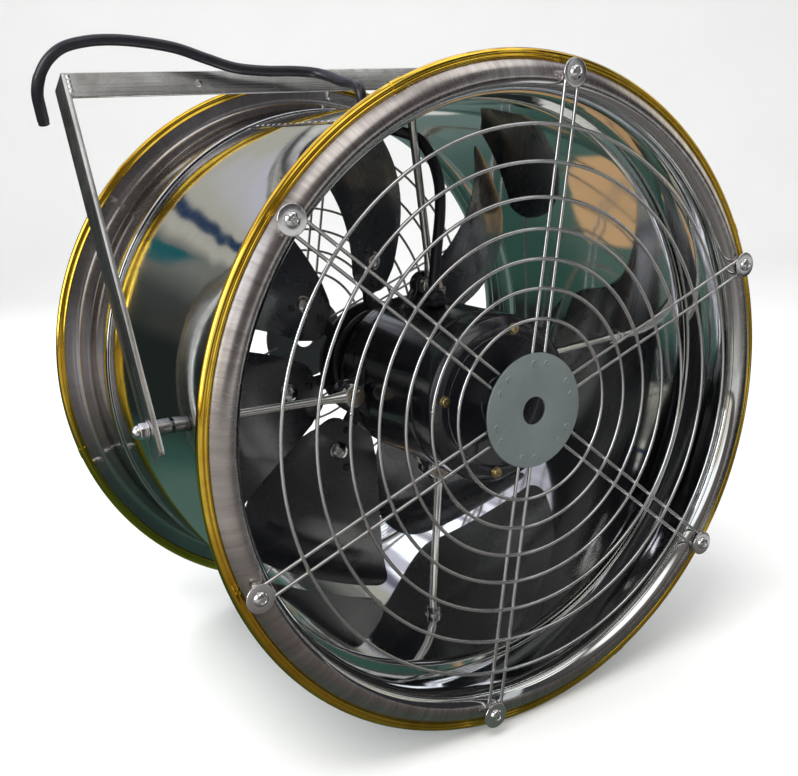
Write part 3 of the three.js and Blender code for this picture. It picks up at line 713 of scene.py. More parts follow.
for end, crest, out in (("front", FRONT_Y, -1), ("rear", REAR_Y, 1)):
    ys = crest + out * (0.3 + 1.5)
    yr = ys + out * 2.75
    g = Geo()
    # a spoke is one wire: out along one side, round the screw, and back
    path = [(SPOKE, z) for z in np.linspace(40, 276, 9)]
    path += [(SPOKE + 0.0, 280.0)]
    path += [(SPOKE * math.cos(t), 284 + SPOKE * math.sin(t)) for t in np.linspace(0, math.pi, 15)]
    path += [(-SPOKE, 280.0)]
    path += [(-SPOKE, z) for z in np.linspace(276, 40, 9)]
    p3 = [(x, ys, z) for x, z in path]
    spoke = tube(p3, WIRE_R - 0.05, 10)
    for a in BOLT_ANGLES:
        g.add(turn(spoke, a))
    for i, r in enumerate(RINGS):
        n = 120 if r > 130 else 84
        pts = [(r * math.sin(t), yr, r * math.cos(t)) for t in np.linspace(0, 2 * math.pi, n, endpoint=False)]
        g.add(tube(pts, WIRE_R, 10, closed=True))
        for a in BOLT_ANGLES:
            for sx in (-1, 1):
                z = math.sqrt(r * r - SPOKE * SPOKE)
                g.add(turn(move(nugget(), sx * SPOKE, (ys + yr) / 2, z), a))
        # butt weld of the ring
        g.add(turn(move(nugget(2.0, 1.0), 0, yr, r), TURN + 30 + 60 * ((i * 2) % 6)))
    build(f"{end}_guard_wires", g, M["wire"], "fan_body", [f"{end}_guard"], 60)

    yb = crest + out * (0.3 + 3.0 + 0.6)
    yf = yb + out * 2.3
    prof = rounded([(12.5, yb), (51, yb), (51, yf), (12.5, yf)], [0.3, 0.9, 0.9, 0.6], 3)
    disc = Geo().add(lathe(prof, 96))
    # spot-weld marks over the wire ends: a low ring with a sunk middle
    mark = [(0, 0.0), (1.1, 0.05), (1.8, 0.55), (2.4, 0.68), (3.1, 0.22), (3.4, -0.25), (0, -0.25)]
    for a in BOLT_ANGLES:
        for sx in (-1, 1):
            for rr in (41.5,):
                v, f = lathe(mark, 16)
                v[:, 1] *= out
                disc.add(turn(move((v, f), sx * SPOKE, yf, rr), a))
    build(f"{end}_guard_plate", disc, M["disc"], "fan_body", [f"{end}_guard_disc"], 35)

    # screw: wide washer with a soft rim, round head with a cross recess
    w0 = 0.3 + 3.0 + 0.6
    for i, a in enumerate(BOLT_ANGLES):
        g = Geo()
        wash = rounded([(3.2, w0), (12, w0), (12, w0 + 1.6), (3.2, w0 + 1.6)], [0, 0.6, 0.7, 0.3], 3)
        wv, wf = lathe(wash, 40)
        head = [(0, w0 + 0.9), (5.9, w0 + 0.9), (6.3, w0 + 1.7), (6.2, w0 + 2.4), (5.5, w0 + 3.6), (4.2, w0 + 4.5), (2.9, w0 + 4.95), (2.6, w0 + 4.6), (2.4, w0 + 3.2), (0, w0 + 3.0)]
        hv, hf = lathe(head, 32)
        shank = [(0, -9.6), (2.5, -9.6), (2.9, -9.0), (2.9, w0 + 1.0), (0, w0 + 1.0)]
        sv, sf = lathe(shank, 16)
        # cross ribs in the recess
        cx = bevel_box(-2.4, 2.4, -0.45, 0.45, 0, 1.5, 0.2, 2)
        cy = bevel_box(-0.45, 0.45, -2.4, 2.4, 0, 1.5, 0.2, 2)
        for v, f in ((wv, wf), (hv, hf), (sv, sf)):
            v = v.copy()
            v[:, 1] = crest + out * v[:, 1]
            g.add(move((v, f), 0, 0, BOLT_R))
        for v, f in (cx, cy):
            q = np.stack([v[:, 0], crest + out * (w0 + 2.9 + v[:, 2]), v[:, 1]], 1)
            q = ry(q, 25 + 17 * i)
            g.add(move((q, f), 0, 0, BOLT_R))
        build(f"{end}_guard_screw_{i + 1}", turn((g.v, g.f), a), M["bright"], "fan_body", [f"{end}_guard_bolt_{i + 1}"], 35)

# ---------------------------------------------------------------------- motor
MR = 78.0
barrel = rounded([(74, -100), (MR + 0.9, -100), (MR + 0.9, -93), (MR, -92), (MR, 8), (MR + 0.9, 9), (MR + 0.9, 15), (74, 15)], [0.3, 1.2, 1.2, 1, 1, 1.2, 1.2, 0.3], 4)
g = Geo().add(lathe(barrel, 128))


def lug():
    """an ear that swells out of the barrel and ends round the bolt"""
    layers = []
    for y in np.array([0.0, 0.6, 1.6, 6.0, 11.0, 13.0, 13.8]):
        ins = {0.0: 1.8, 0.6: 0.7, 1.6: 0.0, 6.0: 0.0, 11.0: 0.0, 13.0: 0.7, 13.8: 1.8}[round(float(y), 1)]
        rr = 13.6 - ins
        pts = [(30 - ins, 70.0), (24 - ins * 0.8, 76.5), (19 - ins, 80.5)]
        for t in np.linspace(-0.25, math.pi + 0.25, 18):
            pts.append((rr * math.cos(t), EYE_R + rr * math.sin(t)))
        pts += [(-19 + ins, 80.5), (-24 + ins * 0.8, 76.5), (-30 + ins, 70.0)]
        layers.append([(x, EYE_Y + 5.3 + y, z) for x, z in pts])
    return loft(layers)


for a in (0, 90, 180, 270):
    g.add(turn(lug(), a))
build("motor_barrel", g, M["black"], "fan_body", ["motor_shell"], 40)

cover = rounded([(11, -133), (24, -133), (26, -131.5), (60, -131.5), (62, -133), (69, -133), (MR, -126), (MR, -100.4), (73.7, -100.4), (73.7, -92), (69, -92), (69, -120), (27, -120), (27, -102), (22.2, -102), (22.2, -114.3), (11, -114.3)],
                [0.8, 2, 2, 2, 2, 3, 6, 0.6, 0.2, 0.2, 0.2, 1, 1, 0.2, 0.2, 0.2, 0.2], 5)
build("motor_front_bell", lathe(cover, 128), M["black"], "fan_body", ["motor_front_cover"], 40)
rear = rounded([(11, 45), (26, 45), (28, 43.5), (56, 43.5), (58, 45), (60, 45), (72, 38), (MR, 29), (MR, 15.4), (73.7, 15.4), (73.7, 7), (69, 7), (69, 32), (27, 32), (27, 14), (22.2, 14), (22.2, 26.3), (11, 26.3)],
               [0.8, 2, 2, 2, 2, 2, 5, 5, 0.6, 0.2, 0.2, 0.2, 1, 1, 0.2, 0.2, 0.2, 0.2], 5)
build("motor_rear_bell", lathe(rear, 128), M["black"], "fan_body", ["motor_rear_cover"], 40)

for k in range(4):
    g = Geo()
    # pan head with a slot between two halves, on a small spring washer
    g.add(lathe([(0, -123.5), (2, -123.5), (2, -133.2), (5.2, -133.2), (5.4, -133.6), (5.2, -134.0), (0, -134.0)], 24))
    g.add(lathe([(0, -133.9), (4.4, -133.9), (4.6, -134.6), (4.3, -136.0), (3.5, -136.8), (1.6, -136.9), (1.4, -136.1), (0, -136.0)], 28))
    for ang in (0, 90):
        b = bevel_box(-1.45, 1.45, -0.3, 0.3, 0, 0.7, 0.12, 2)
        q = np.stack([b[0][:, 0], -136.0 - b[0][:, 2] * 0.9, b[0][:, 1]], 1)
        g.add((ry(q, 35 + ang + 20 * k), b[1]))
    build(f"motor_screw_{k + 1}", turn(move((g.v, g.f), 0, 0, 66), 10 + 90 * k), M["brass"], "fan_body", [f"motor_cover_screw_{k + 1}"], 35)

# --------------------------------------------------------------- support rods
BEND = 246.0


def threaded(z0, z1, r, pitch=1.25, depth=0.42):
    n = int(round((z1 - z0) / pitch * 2))
    prof = [(0, z0)]
    for i in range(n + 1):
        z = z0 + (z1 - z0) * i / n
        prof.append((r - (depth if i % 2 == 0 else 0.0), z))
    prof.append((0, z1))
    return z_up(lathe(prof, 20))


def rod(end_r):
    g = Geo()
    # forged eye, thinner in the middle of its rim
    eye = rounded([(4.6, -5), (11.4, -5), (11.4, 5), (4.6, 5)], [0.8, 2.2, 2.2, 0.8], 4)
    v, f = lathe(eye, 40)
    g.add(move((v, f), 0, EYE_Y, EYE_R))
    a, b = np.array([0, EYE_Y, EYE_R + 9.5]), np.array([0, -0.9, BEND - 6])
    pts, rad = [], []
    for t in np.linspace(0, 1, 26):
        pts.append(a + (b - a) * t)
        neck = max(0, 1 - t * 7)
        rad.append(4.0 + 2.3 * neck ** 1.5)
    for t in np.linspace(0, 1, 6)[1:]:
        pts.append(np.array([0, -0.9 * (1 - t) ** 1.5, BEND - 6 + 10 * t]))
        rad.append(4.0)
    g.add(tube(pts, rad, 20))
    g.add(threaded(BEND + 3.5, end_r, 4.0))
    return g


def dome_nut(z0):
    g = Geo()
    g.add(z_up(lathe(rounded([(4.4, z0), (8.9, z0), (8.9, z0 + 1.2), (4.4, z0 + 1.2)], 0.3, 2), 36)))
    g.add(prism(hexagon(13.0), z0 + 1.2, z0 + 7.6, 0.9))
    dome = [(0, z0 + 7.0), (6.1, z0 + 7.0), (6.1, z0 + 8.2)]
    for t in np.linspace(0.1, math.pi / 2, 9):
        dome.append((6.1 * math.cos(t), z0 + 8.2 + 5.9 * math.sin(t)))
    dome[-1] = (0, z0 + 14.1)
    g.add(z_up(lathe(dome, 32)))
    return g


def wall_nut():
    """the lock nut and washer against the inside of the wall"""
    g = Geo()
    g.add(z_up(lathe(rounded([(4.4, 261.9), (8.9, 261.9), (8.9, 263.1), (4.4, 263.1)], 0.3, 2), 36)))
    g.add(prism(hexagon(13.0), 255.4, 261.9, 0.9))
    return g


for name, a, end in (("top", 0, 272.8), ("right", 90, 293.8), ("bottom", 180, 272.8), ("left", 270, 293.8)):
    g = rod(end)
    build(f"rod_{name}", turn((g.v, g.f), a), M["rod"], "fan_body", [f"support_rod_{name}"], 50)
    g = wall_nut()
    build(f"rod_inner_nut_{name}", turn((g.v, g.f), a), M["bright"], "fan_body", (), 35)
    g = Geo()
    g.add(lathe(rounded([(0, EYE_Y + 15), (4, EYE_Y + 15), (4, EYE_Y - 5.3), (0, EYE_Y - 5.3)], [0, 0.5, 0, 0], 2), 24))
    g.add(lathe(rounded([(4.2, EYE_Y - 5.3), (8.6, EYE_Y - 5.3), (8.6, EYE_Y - 6.9), (4.2, EYE_Y - 6.9)], 0.3, 2), 36))
    v, f = prism(hexagon(12.6), 0, 5.0, 0.9)
    q = np.stack([v[:, 0], EYE_Y - 6.8 - v[:, 2], v[:, 1]], 1)
    g.add((ry(q, 13), f))
    build(f"eye_bolt_{name}", turn(move((g.v, g.f), 0, 0, EYE_R), a), M["zinc"], "fan_body", [f"rod_eye_bolt_{name}"], 35)

for piece, node, a, z in (("rod_cap_top", "rod_nut_top", 0, 265.3), ("rod_cap_bottom", "rod_nut_bottom", 180, 265.3), ("pivot_cap_right", "pivot_nut_right", 90, 286.3), ("pivot_cap_left", "pivot_nut_left", 270, 286.3)):
    g = dome_nut(z)
    build(piece, turn((g.v, g.f), a), M["bright"], "fan_body", [node], 35)
for name, a in (("right", 90), ("left", 270)):
    # spacer bush that keeps the arm off the drum
    g = Geo().add(z_up(lathe(rounded([(4.5, 266.2), (7.6, 266.2), (7.6, 280.6), (4.5, 280.6)], [0.2, 0.7, 0.7, 0.2], 3), 32)))
    build(f"pivot_bush_{name}", turn((g.v, g.f), a), M["bush"], "fan_body", (), 35)

# ------------------------------------------------------------------- impeller
TIP, ROOT = 256.0, 74.0


def blade_point(r, t):
    s = (r - 100) / (TIP - 100)
    sc = max(s, 0.0)
    af, ab = -22.4 + 6.7 * sc - 12.7 * sc * sc, 16.6 + 14.7 * sc - 27 * sc * sc
    yf, yb = 79.7 - 76.4 * sc + 66 * sc * sc, 109.3 + 61.7 * sc - 21.3 * sc * sc
    narrow = 0.62 + 0.38 * math.sqrt(max(0.0, (r - ROOT) / (104 - ROOT))) if r < 104 else 1.0
    tt = 0.5 + (t - 0.5) * narrow
    camber = 6 * (1 - (2 * t - 1) ** 2) * (0.4 + 0.6 * sc)
    a = (af + (ab - af) * tt) * DEG
    return np.array([r * math.sin(a), yf + (yb - yf) * tt + camber, r * math.cos(a)])


def blade_normal(r, t):
    dr = blade_point(r + 0.5, t) - blade_point(r - 0.5, t)
    dt = blade_point(r, t + 0.02) - blade_point(r, t - 0.02)
    n = np.cross(dt, dr)
    n /= np.linalg.norm(n)
    return n if n[1] > 0 else -n


def step(x, a, b):
    u = min(1.0, max(0.0, (x - a) / (b - a)))
    return u * u * (3 - 2 * u)


def blade_sheet():
    rs = list(np.linspace(ROOT, 104, 12)) + list(np.linspace(108, 236, 26)) + [256 - 20 * (1 - math.sin(q)) for q in np.linspace(0.12, math.pi / 2, 12)]
    ts = np.linspace(0, 1, 25)
    top, bottom = [], []
    for r in rs:
        e = 0.0
        if r > 236:
            e = 0.105 * (1 - math.sqrt(max(0.0, 1 - ((r - 236) / 20) ** 2)))
        if r < 86:
            e = 0.14 * (1 - math.sqrt(max(0.0, 1 - ((86 - r) / 12) ** 2)))
        for t in ts:
            q = e + (1 - 2 * e) * t
            n = blade_normal(r, q)
            c = blade_point(r, q)
            # a pressed step across the blade, and a shallow one near the tip
            press = 1.5 * step(r, 172, 181) * step(q, 0.06, 0.2) * step(1 - q, 0.1, 0.25)
            press -= 1.5 * step(r, 205, 216) * step(q, 0.06, 0.2) * step(1 - q, 0.1, 0.25)
            half = 1.25 * min(1.0, 0.35 + 6 * min(t, 1 - t))
            c = c - n * press * 0.9
            top.append(c - n * half)
            bottom.append(c + n * half)
    nr, nt = len(rs), len(ts)
    v = np.array(top + bottom)
    f = []
    o = nr * nt
    for i in range(nr - 1):
        for k in range(nt - 1):
            a, b, c, d = i * nt + k, i * nt + k + 1, (i + 1) * nt + k + 1, (i + 1) * nt + k
            f.append((a, b, c, d))
            f.append((o + d, o + c, o + b, o + a))
    for i in range(nr - 1):
        a, d = i * nt, (i + 1) * nt
        f.append((a, d, o + d, o + a))
        b, c = i * nt + nt - 1, (i + 1) * nt + nt - 1
        f.append((b, o + b, o + c, c))
    for k in range(nt - 1):
        f.append((k, o + k, o + k + 1, k + 1))
        a, b = (nr - 1) * nt + k, (nr - 1) * nt + k + 1
        f.append((a, b, o + b, o + a))
    return v, f


def on_blade(part, r, t, lift, spin=0.0):
    """stand a piece built along +z on the blade's motor side"""
    n = -blade_normal(r, t)
    c = blade_point(r, t) + n * lift
    up = blade_point(r + 1, t) - blade_point(r - 1, t)
    up -= n * (up @ n)
    up /= np.linalg.norm(up)
    side = np.cross(up, n)
    if spin:
        q = spin * DEG
        up, side = up * math.cos(q) + side * math.sin(q), side * math.cos(q) - up * math.sin(q)
    v = np.asarray(part[0])
    return c + v[:, :1] * side + v[:, 1:2] * up + v[:, 2:3] * n, part[1]


sheet = blade_sheet()
mush = Geo()
mush.add(z_up(lathe([(0, -6.5), (4, -6.5), (4, 0), (9.4, 0), (10.2, 0.6), (10.0, 1.6), (8.6, 3.4), (6.2, 4.9), (3.4, 5.7), (2.7, 5.3), (2.5, 3.9), (0, 3.8)], 40)))
rivet = z_up(lathe([(0, -6), (2.2, -6), (2.2, 0), (4.2, 0), (4.3, 0.6), (3.8, 1.9), (2.6, 2.8), (1.2, 3.2), (0, 3.3)], 24))


def arm_sheet():
    """the hub's arm behind a blade root: a plate with a round end"""
    layers = []
    rs = [50, 60, 74, 88, 100, 110, 118, 124, 128, 130]
    out = []
    ts_n = 12
    top, bottom = [], []
    for r in rs:
        w = 0.225 * (1 if r < 112 else math.sqrt(max(0.0, 1 - ((r - 112) / 19.0) ** 2)))
        for k in range(ts_n + 1):
            t = 0.5 + w * (2 * k / ts_n - 1)
            n = blade_normal(max(r, 60), t)
            c = blade_point(max(r, 60), t)
            if r < 60:
                c = c * np.array([r / 60, 1, r / 60])
            top.append(c + n * 3.5)
            bottom.append(c + n * 7.7)
    nr, nt = len(rs), ts_n + 1
    v = np.array(top + bottom)
    f = []
    o = nr * nt
    for i in range(nr - 1):
        for k in range(nt - 1):
            a, b, c, d = i * nt + k, i * nt + k + 1, (i + 1) * nt + k + 1, (i + 1) * nt + k
            f.append((a, b, c, d))
            f.append((o + d, o + c, o + b, o + a))
        a, d = i * nt, (i + 1) * nt
        f.append((a, d, o + d, o + a))
        b, c = i * nt + nt - 1, (i + 1) * nt + nt - 1
        f.append((b, o + b, o + c, c))
    for k in range(nt - 1):
        f.append((k, o + k, o + k + 1, k + 1))
        a, b = (nr - 1) * nt + k, (nr - 1) * nt + k + 1
        f.append((a, b, o + b, o + a))
    return v, f


hub = Geo().add(lathe(rounded([(10.3, 90), (28, 90), (30, 92), (30, 97), (64, 98), (64, 104), (30, 106), (30, 118), (26, 122), (10.3, 122)], [0.3, 1, 1, 2, 1.2, 1.2, 3, 2, 1, 0.4], 4), 96))
for k in range(7):
    hub.add(turn(arm_sheet(), 5 + 360 / 7 * k))
build("impeller_spider", hub, M["hub"], "rotor", ["impeller_hub"], 40)
clamp = Geo().add(lathe(rounded([(10.3, 76), (30, 76), (33, 77.2), (56, 77.2), (60, 79), (60, 81.5), (30, 81.5), (30, 90), (10.3, 90)], [0.3, 1.5, 1.5, 1.5, 1, 0.5, 1, 0.2, 0.2], 4), 96))
for k in range(7):
    a = 5 + 360 / 7 * (k + 0.5)
    b = prism(hexagon(8.0), 0, 3.4, 0.6)
    q = np.stack([b[0][:, 0], 77.3 - b[0][:, 2], b[0][:, 1]], 1)
    clamp.add(turn(move((q, b[1]), 0, 0, 45), a))
build("hub_front_clamp", clamp, M["hub"], "rotor", ["hub_clamp_plate"], 35)
for k in range(7):
    a = 5 + 360 / 7 * k
    build(f"blade_paddle_{k + 1}", turn(sheet, a), M["blade"], "rotor", [f"blade_{k + 1}"], 40)
    g = Geo().add(on_blade((mush.v, mush.f), 107, 0.5, 1.1))
    build(f"blade_bolt_{k + 1}", turn((g.v, g.f), a), M["bright"], "rotor", (), 35)
    g = Geo().add(on_blade(rivet, 83, 0.5, 1.1)).add(on_blade(rivet, 121, 0.34, 1.1))
    build(f"blade_rivets_{k + 1}", turn((g.v, g.f), a), M["rivet"], "rotor", (), 35)
build("shaft_bar", lathe(rounded([(0, -129), (10, -129), (10, 140), (0, 140)], [0, 1.2, 1.2, 0], 3), 48), M["steel"], "rotor", ["motor_shaft"], 40)
g = Geo()
g.add(lathe(rounded([(10.4, 122.4), (21, 122.4), (21, 124.6), (10.4, 124.6)], 0.4, 2), 48))
v, f = prism(hexagon(29.0, 3, 0.8), 124.6, 134.4, 1.4)
q = np.stack([v[:, 0], v[:, 2], v[:, 1]], 1)
g.add((q, f))
build("hub_lock_nut", g, M["steel"], "rotor", ["hub_end_nut"], 35)

# ---------------------------------------------------------------------- cable
CABLE = [
    (-12, -44, 82), (-12, -44, 94), (-10.5, -43, 104), (-4, -39, 128), (6, -33, 165), (12, -24, 190), (15, -8, 214),
    (11.5, 7, 231), (-4, 18, 239.5), (-20, 29, 243.5), (-28.4, 37, 250), (-29.5, 38, 258.5), (-30.6, 38, 268.3),
    (-31.4, 38.6, 275), (-31, 43, 281.5), (-28, 54, 285.5), (-27, 67, 287.5), (-29.9, 80, 290), (-34, 96, 295.5), (-42, 110, 300), (-60, 118.5, 302.5),
    (-92, 122.5, 303.5), (-122, 125, 307), (-149, 129, 316), (-176, 134, 326), (-205, 137.5, 331.5),
    (-233, 139, 334), (-258, 141.5, 333), (-280, 145.5, 327.5), (-293, 150.5, 317), (-300.5, 157, 303),
    (-302.5, 164, 289), (-300, 171, 276), (-297, 177, 262),
]


def catmull(points, per=8):
    P = [np.array(p, float) for p in points]
    P = [2 * P[0] - P[1]] + P + [2 * P[-1] - P[-2]]
    out = []
    for i in range(1, len(P) - 2):
        p0, p1, p2, p3 = P[i - 1], P[i], P[i + 1], P[i + 2]
        t0 = 0.0
        t1 = t0 + np.linalg.norm(p1 - p0) ** 0.5
        t2 = t1 + np.linalg.norm(p2 - p1) ** 0.5
        t3 = t2 + np.linalg.norm(p3 - p2) ** 0.5
        for k in range(per):
            t = t1 + (t2 - t1) * k / per
            a1 = (t1 - t) / (t1 - t0) * p0 + (t - t0) / (t1 - t0) * p1
            a2 = (t2 - t) / (t2 - t1) * p1 + (t - t1) / (t2 - t1) * p2
            a3 = (t3 - t) / (t3 - t2) * p2 + (t - t2) / (t3 - t2) * p3
            b1 = (t2 - t) / (t2 - t0) * a1 + (t - t0) / (t2 - t0) * a2
            b2 = (t3 - t) / (t3 - t1) * a2 + (t - t1) / (t3 - t1) * a3
            out.append((t2 - t) / (t2 - t1) * b1 + (t - t1) / (t2 - t1) * b2)
    out.append(P[-2])
    return np.array(out)


path = catmull(CABLE, 8)
rad = np.full(len(path), 5.25)
g = Geo().add(tube(path, rad, 20))
# heat-shrink cap over the cut end
tail = path[-26:]
capr = np.full(len(tail), 5.6)
capr[0], capr[-1], capr[-2] = 5.3, 4.0, 5.2
g.add(tube(tail, capr, 20))
cable = build("supply_cable_run", g, M["rubber"], "fan_body", ["supply_cable"], 45, ride=False)
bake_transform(cable)

grom = rounded([(7.1, 258.4), (12.8, 258.4), (12.8, 261.9), (8.7, 261.9), (8.7, 265.6), (12.8, 265.6), (10.8, 269.5), (7.1, 269.5)], [0.5, 1, 0.4, 0.2, 0.2, 0.8, 1.6, 0.6], 4)
build("cable_grommet", turn(move(z_up(lathe(grom, 48)), 0, 38, 0), -6.5), M["rubber"], "fan_body", ["drum_cable_grommet"], 40)
gl = Geo()
gl.add(prism(hexagon(20.0, 3, 0.8), 78.2, 84.5, 1.0))
gl.add(z_up(lathe(rounded([(6.0, 84.0), (9.6, 84.0), (9.6, 89.0), (7.6, 92.0), (6.0, 92.0)], [0.2, 1, 2, 1, 0.2], 3), 40)))
build("motor_gland_body", move((gl.v, gl.f), -12, -44, 0), M["rubber"], "fan_body", ["motor_cable_gland"], 35)

# ----------------------------------------------------------------------- yoke
H, HALF, DROP, LEG, BT, W, T = 335.0, 286.0, 28.0, 25.0, 3.0, 16.0, 5.0


def strip(profile_xy, axis_pts):
    return None


g = Geo()
for s in (-1, 1):
    xo, xi = s * HALF, s * (HALF - T)
    out = rounded([(-W, -DROP), (W, -DROP), (W, H), (-W, H)], [5, 5, 1.2, 1.2], 5)
    # plate in y, z, raised along x, with eased edges
    layers = []
    o = np.asarray(out)
    c = np.array([0, (H - DROP) / 2])
    for x, ins in ((xi, 0.7), (xi + s * 0.2, 0.2), (xi + s * 0.7, 0.0), (xo - s * 0.7, 0.0), (xo - s * 0.2, 0.2), (xo, 0.7)):
        q = o.copy()
        q[:, 0] = o[:, 0] * (1 - ins / W)
        q[:, 1] = c[1] + (o[:, 1] - c[1]) * (1 - ins / ((H + DROP) / 2))
        layers.append([(x, p[0], p[1]) for p in q])
    g.add(loft(layers))
# angle: outline in y, z with a rounded heel and toes, run along x
ang = rounded([(-W, H), (-W, H - LEG), (-W + BT, H - LEG), (-W + BT, H - BT), (-W + LEG, H - BT), (-W + LEG, H)], [1.4, 0.9, 1.4, 2.6, 1.4, 0.9], 5)
cx = HALF - T + 0.2
layers = [[(x, p[0], p[1]) for p in ang] for x in np.linspace(-cx, cx, 12)]
g.add(loft(layers, cap=True))
# fillet welds where the angle meets an arm
for s in (-1, 1):
    x = s * (HALF - T)
    for a, b in (((-W + 0.2, H - LEG + 1), (-W + 0.2, H - 2)), ((-W + BT + 0.6, H - BT - 0.4), (-W + LEG - 1, H - BT - 0.4)), ((-W + BT + 0.4, H - LEG + 1), (-W + BT + 0.4, H - BT - 1))):
        n = 14
        pts = [(x - s * 0.6, a[0] + (b[0] - a[0]) * i / n, a[1] + (b[1] - a[1]) * i / n) for i in range(n + 1)]
        rr = [1.7 + 0.35 * math.sin(i * 2.1) for i in range(n + 1)]
        rr[0] = rr[-1] = 0.8
        g.add(tube(pts, rr, 10))
yoke = build("yoke_frame", (yoke_frame(g.v), g.f), M["yoke"], "yoke", ["yoke"], 35)


def cutter(name, part):
    v, f = part
    me = D.meshes.new(name)
    me.from_pydata((yoke_frame(v) / 1000 + PIV).tolist(), [], [list(q) for q in f])
    import bmesh
    bm = bmesh.new()
    bm.from_mesh(me)
    bmesh.ops.recalc_face_normals(bm, faces=bm.faces)
    bm.to_mesh(me)
    bm.free()
    o = D.objects.new(name, me)
    bpy.context.scene.collection.objects.link(o)
    return o


holes = Geo()
for s in (-1, 1):
    v, f = lathe([(0, -W - 4), (4, -W - 4), (4, -W + BT + 4), (0, -W + BT + 4)], 32)
    holes.add(move((v, f), s * 158, 0, H - LEG / 2 - 1))
    v, f = x_out(lathe([(0, HALF - T - 3), (4.5, HALF - T - 3), (4.5, HALF + 3), (0, HALF + 3)], 32))
    v = np.asarray(v) * np.array([s, 1, 1])
    holes.add((v, f))
co = cutter("yoke_holes", (holes.v, holes.f))
mod = yoke.modifiers.new("holes", "BOOLEAN")
mod.operation = "DIFFERENCE"
mod.solver = "EXACT"
mod.use_self = True
mod.object = co
bpy.context.view_layer.update()
dg = bpy.context.evaluated_depsgraph_get()
new = D.meshes.new_from_object(yoke.evaluated_get(dg))
yoke.modifiers.clear()
yoke.data = new
yoke.data.shade_smooth()
yoke.data.set_sharp_from_angle(angle=35 * DEG)
D.objects.remove(co)

# CAD nodes that stay: the unseen inner pieces
for nm, key in (("motor_stator", "iron"), ("motor_rotor_core", "iron"), ("front_bearing", "steel"), ("rear_bearing", "steel")):
    o = frame["nodes"][nm]
    o.data.materials.clear()
    o.data.materials.append(M[key])

# ------------------------------------------------------------ floor and light
FLOOR_Z = -301.3


def stage_mesh(name, v, f, mat):
    me = D.meshes.new(name)
    me.from_pydata((np.asarray(v, float) / 1000 + PIV).tolist(), [], f)
    me.materials.append(mat)
    me.shade_smooth()
    o = D.objects.new(name, me)
    bpy.context.scene.collection.objects.link(o)
    return o


fm, n = material("pale_floor_and_reflected_glow")
p = n.object()
lp = n.node("ShaderNodeLightPath")
soft = n.noise(p, 2.2, 3, 0.5)
pale = n.mix(soft, (0.80, 0.80, 0.79), (0.86, 0.86, 0.85))
# What polished metal sees of the floor: an emission that glows only for glossy rays,
# darker than the pale floor, greenish behind the fan and neutral in front of it, with bright glowing strips and patches
# as painted reflections and highlights for the metal. The camera sees only the pale one.
fx, fy, fz = n.xyz(n.sub(p, tuple(PIV)))
blotch = n.noise(p, 2.6, 3, 0.5)
dark = n.mix(blotch, (0.022, 0.056, 0.046), (0.040, 0.100, 0.080))
dark = n.mix(n.ramp(n.math("ADD", fx, fy), 0.9, 1.6), dark, (0.13, 0.185, 0.175))
dark = n.mix(n.math("MULTIPLY", n.ramp(fy, 0.65, 1.1), n.ramp(fx, -0.1, -0.5)), dark, (0.014, 0.019, 0.017))
dark = n.mix(n.ramp(n.math("ABSOLUTE", n.math("SUBTRACT", fy, 0.38)), 0.30, 0.16), dark, (0.070, 0.125, 0.105))
# a tan glowing patch behind the fan: a painted reflection seen in the polished metal
tan_glow_patch = n.math("MULTIPLY", n.ramp(n.math("ABSOLUTE", n.math("SUBTRACT", fx, 0.15)), 0.17, 0.155), n.ramp(n.math("ABSOLUTE", n.math("SUBTRACT", fy, 0.43)), 0.11, 0.10))
dark = n.mix(n.math("MULTIPLY", tan_glow_patch, 0.9), dark, (0.60, 0.37, 0.19))
# in front the glow is dark to the right and bright to the left: painted reflections that light the left of the front
# roll and leave its right dark
side = n.mix(n.ramp(fx, 0.65, -0.75), (0.026, 0.026, 0.030), n.mix(blotch, (0.42, 0.40, 0.385), (0.64, 0.62, 0.605)))
side = n.mix(n.ramp(n.math("SQRT", n.math("ADD", n.math("MULTIPLY", fx, fx), n.math("MULTIPLY", fy, fy))), 0.85, 0.45), side, (0.135, 0.118, 0.112))
# a narrow bright glowing strip in front, a painted highlight line along the right of the front roll, and bright glow
# far in front
side = n.mix(n.ramp(n.math("ABSOLUTE", n.math("SUBTRACT", fx, 0.47)), 0.045, 0.030), side, (0.62, 0.62, 0.63))
side = n.mix(n.ramp(fy, -1.45, -1.75), side, (0.62, 0.62, 0.62))
dark = n.mix(n.ramp(fy, -0.05, -0.30), dark, side)
# a bright glowing patch to the right behind the fan: a painted highlight for the right side of the gold edge
dark = n.mix(n.math("MULTIPLY", n.math("MULTIPLY", n.ramp(fx, 0.90, 1.0), n.ramp(fx, 2.3, 2.1)), n.ramp(fy, 0.10, 0.25)), dark, (0.66, 0.66, 0.62))
bs = n.node("ShaderNodeBsdfDiffuse")
em = n.node("ShaderNodeEmission")
n.put(bs.inputs[0], pale)
n.put(em.inputs[0], dark)
clear = n.node("ShaderNodeBsdfTransparent")
m1 = n.node("ShaderNodeMixShader")
m2 = n.node("ShaderNodeMixShader")
n.put(m1.inputs[0], n.ramp(fz, FLOOR_Z / 1000 + 0.015, FLOOR_Z / 1000 + 0.03))
n.t.links.new(em.outputs[0], m1.inputs[1])
n.t.links.new(clear.outputs[0], m1.inputs[2])
n.put(m2.inputs[0], lp.outputs["Is Glossy Ray"])
n.t.links.new(bs.outputs[0], m2.inputs[1])
n.t.links.new(m1.outputs[0], m2.inputs[2])
out = n.node("ShaderNodeOutputMaterial")
n.t.links.new(m2.outputs[0], out.inputs[0])
prof = [(-4200, 0), (2600, 0)]
for t in np.linspace(0, math.pi / 2, 16)[1:]:
    prof.append((2600 + 900 * math.sin(t), 900 * (1 - math.cos(t))))
prof.append((3500, 4200))
v, f = [], []
for x in (-6000, 6000):
    v += [(x, y, FLOOR_Z + z) for y, z in prof]
m_ = len(prof)
for i in range(m_ - 1):
    f.append((i, i + 1, m_ + i + 1, m_ + i))
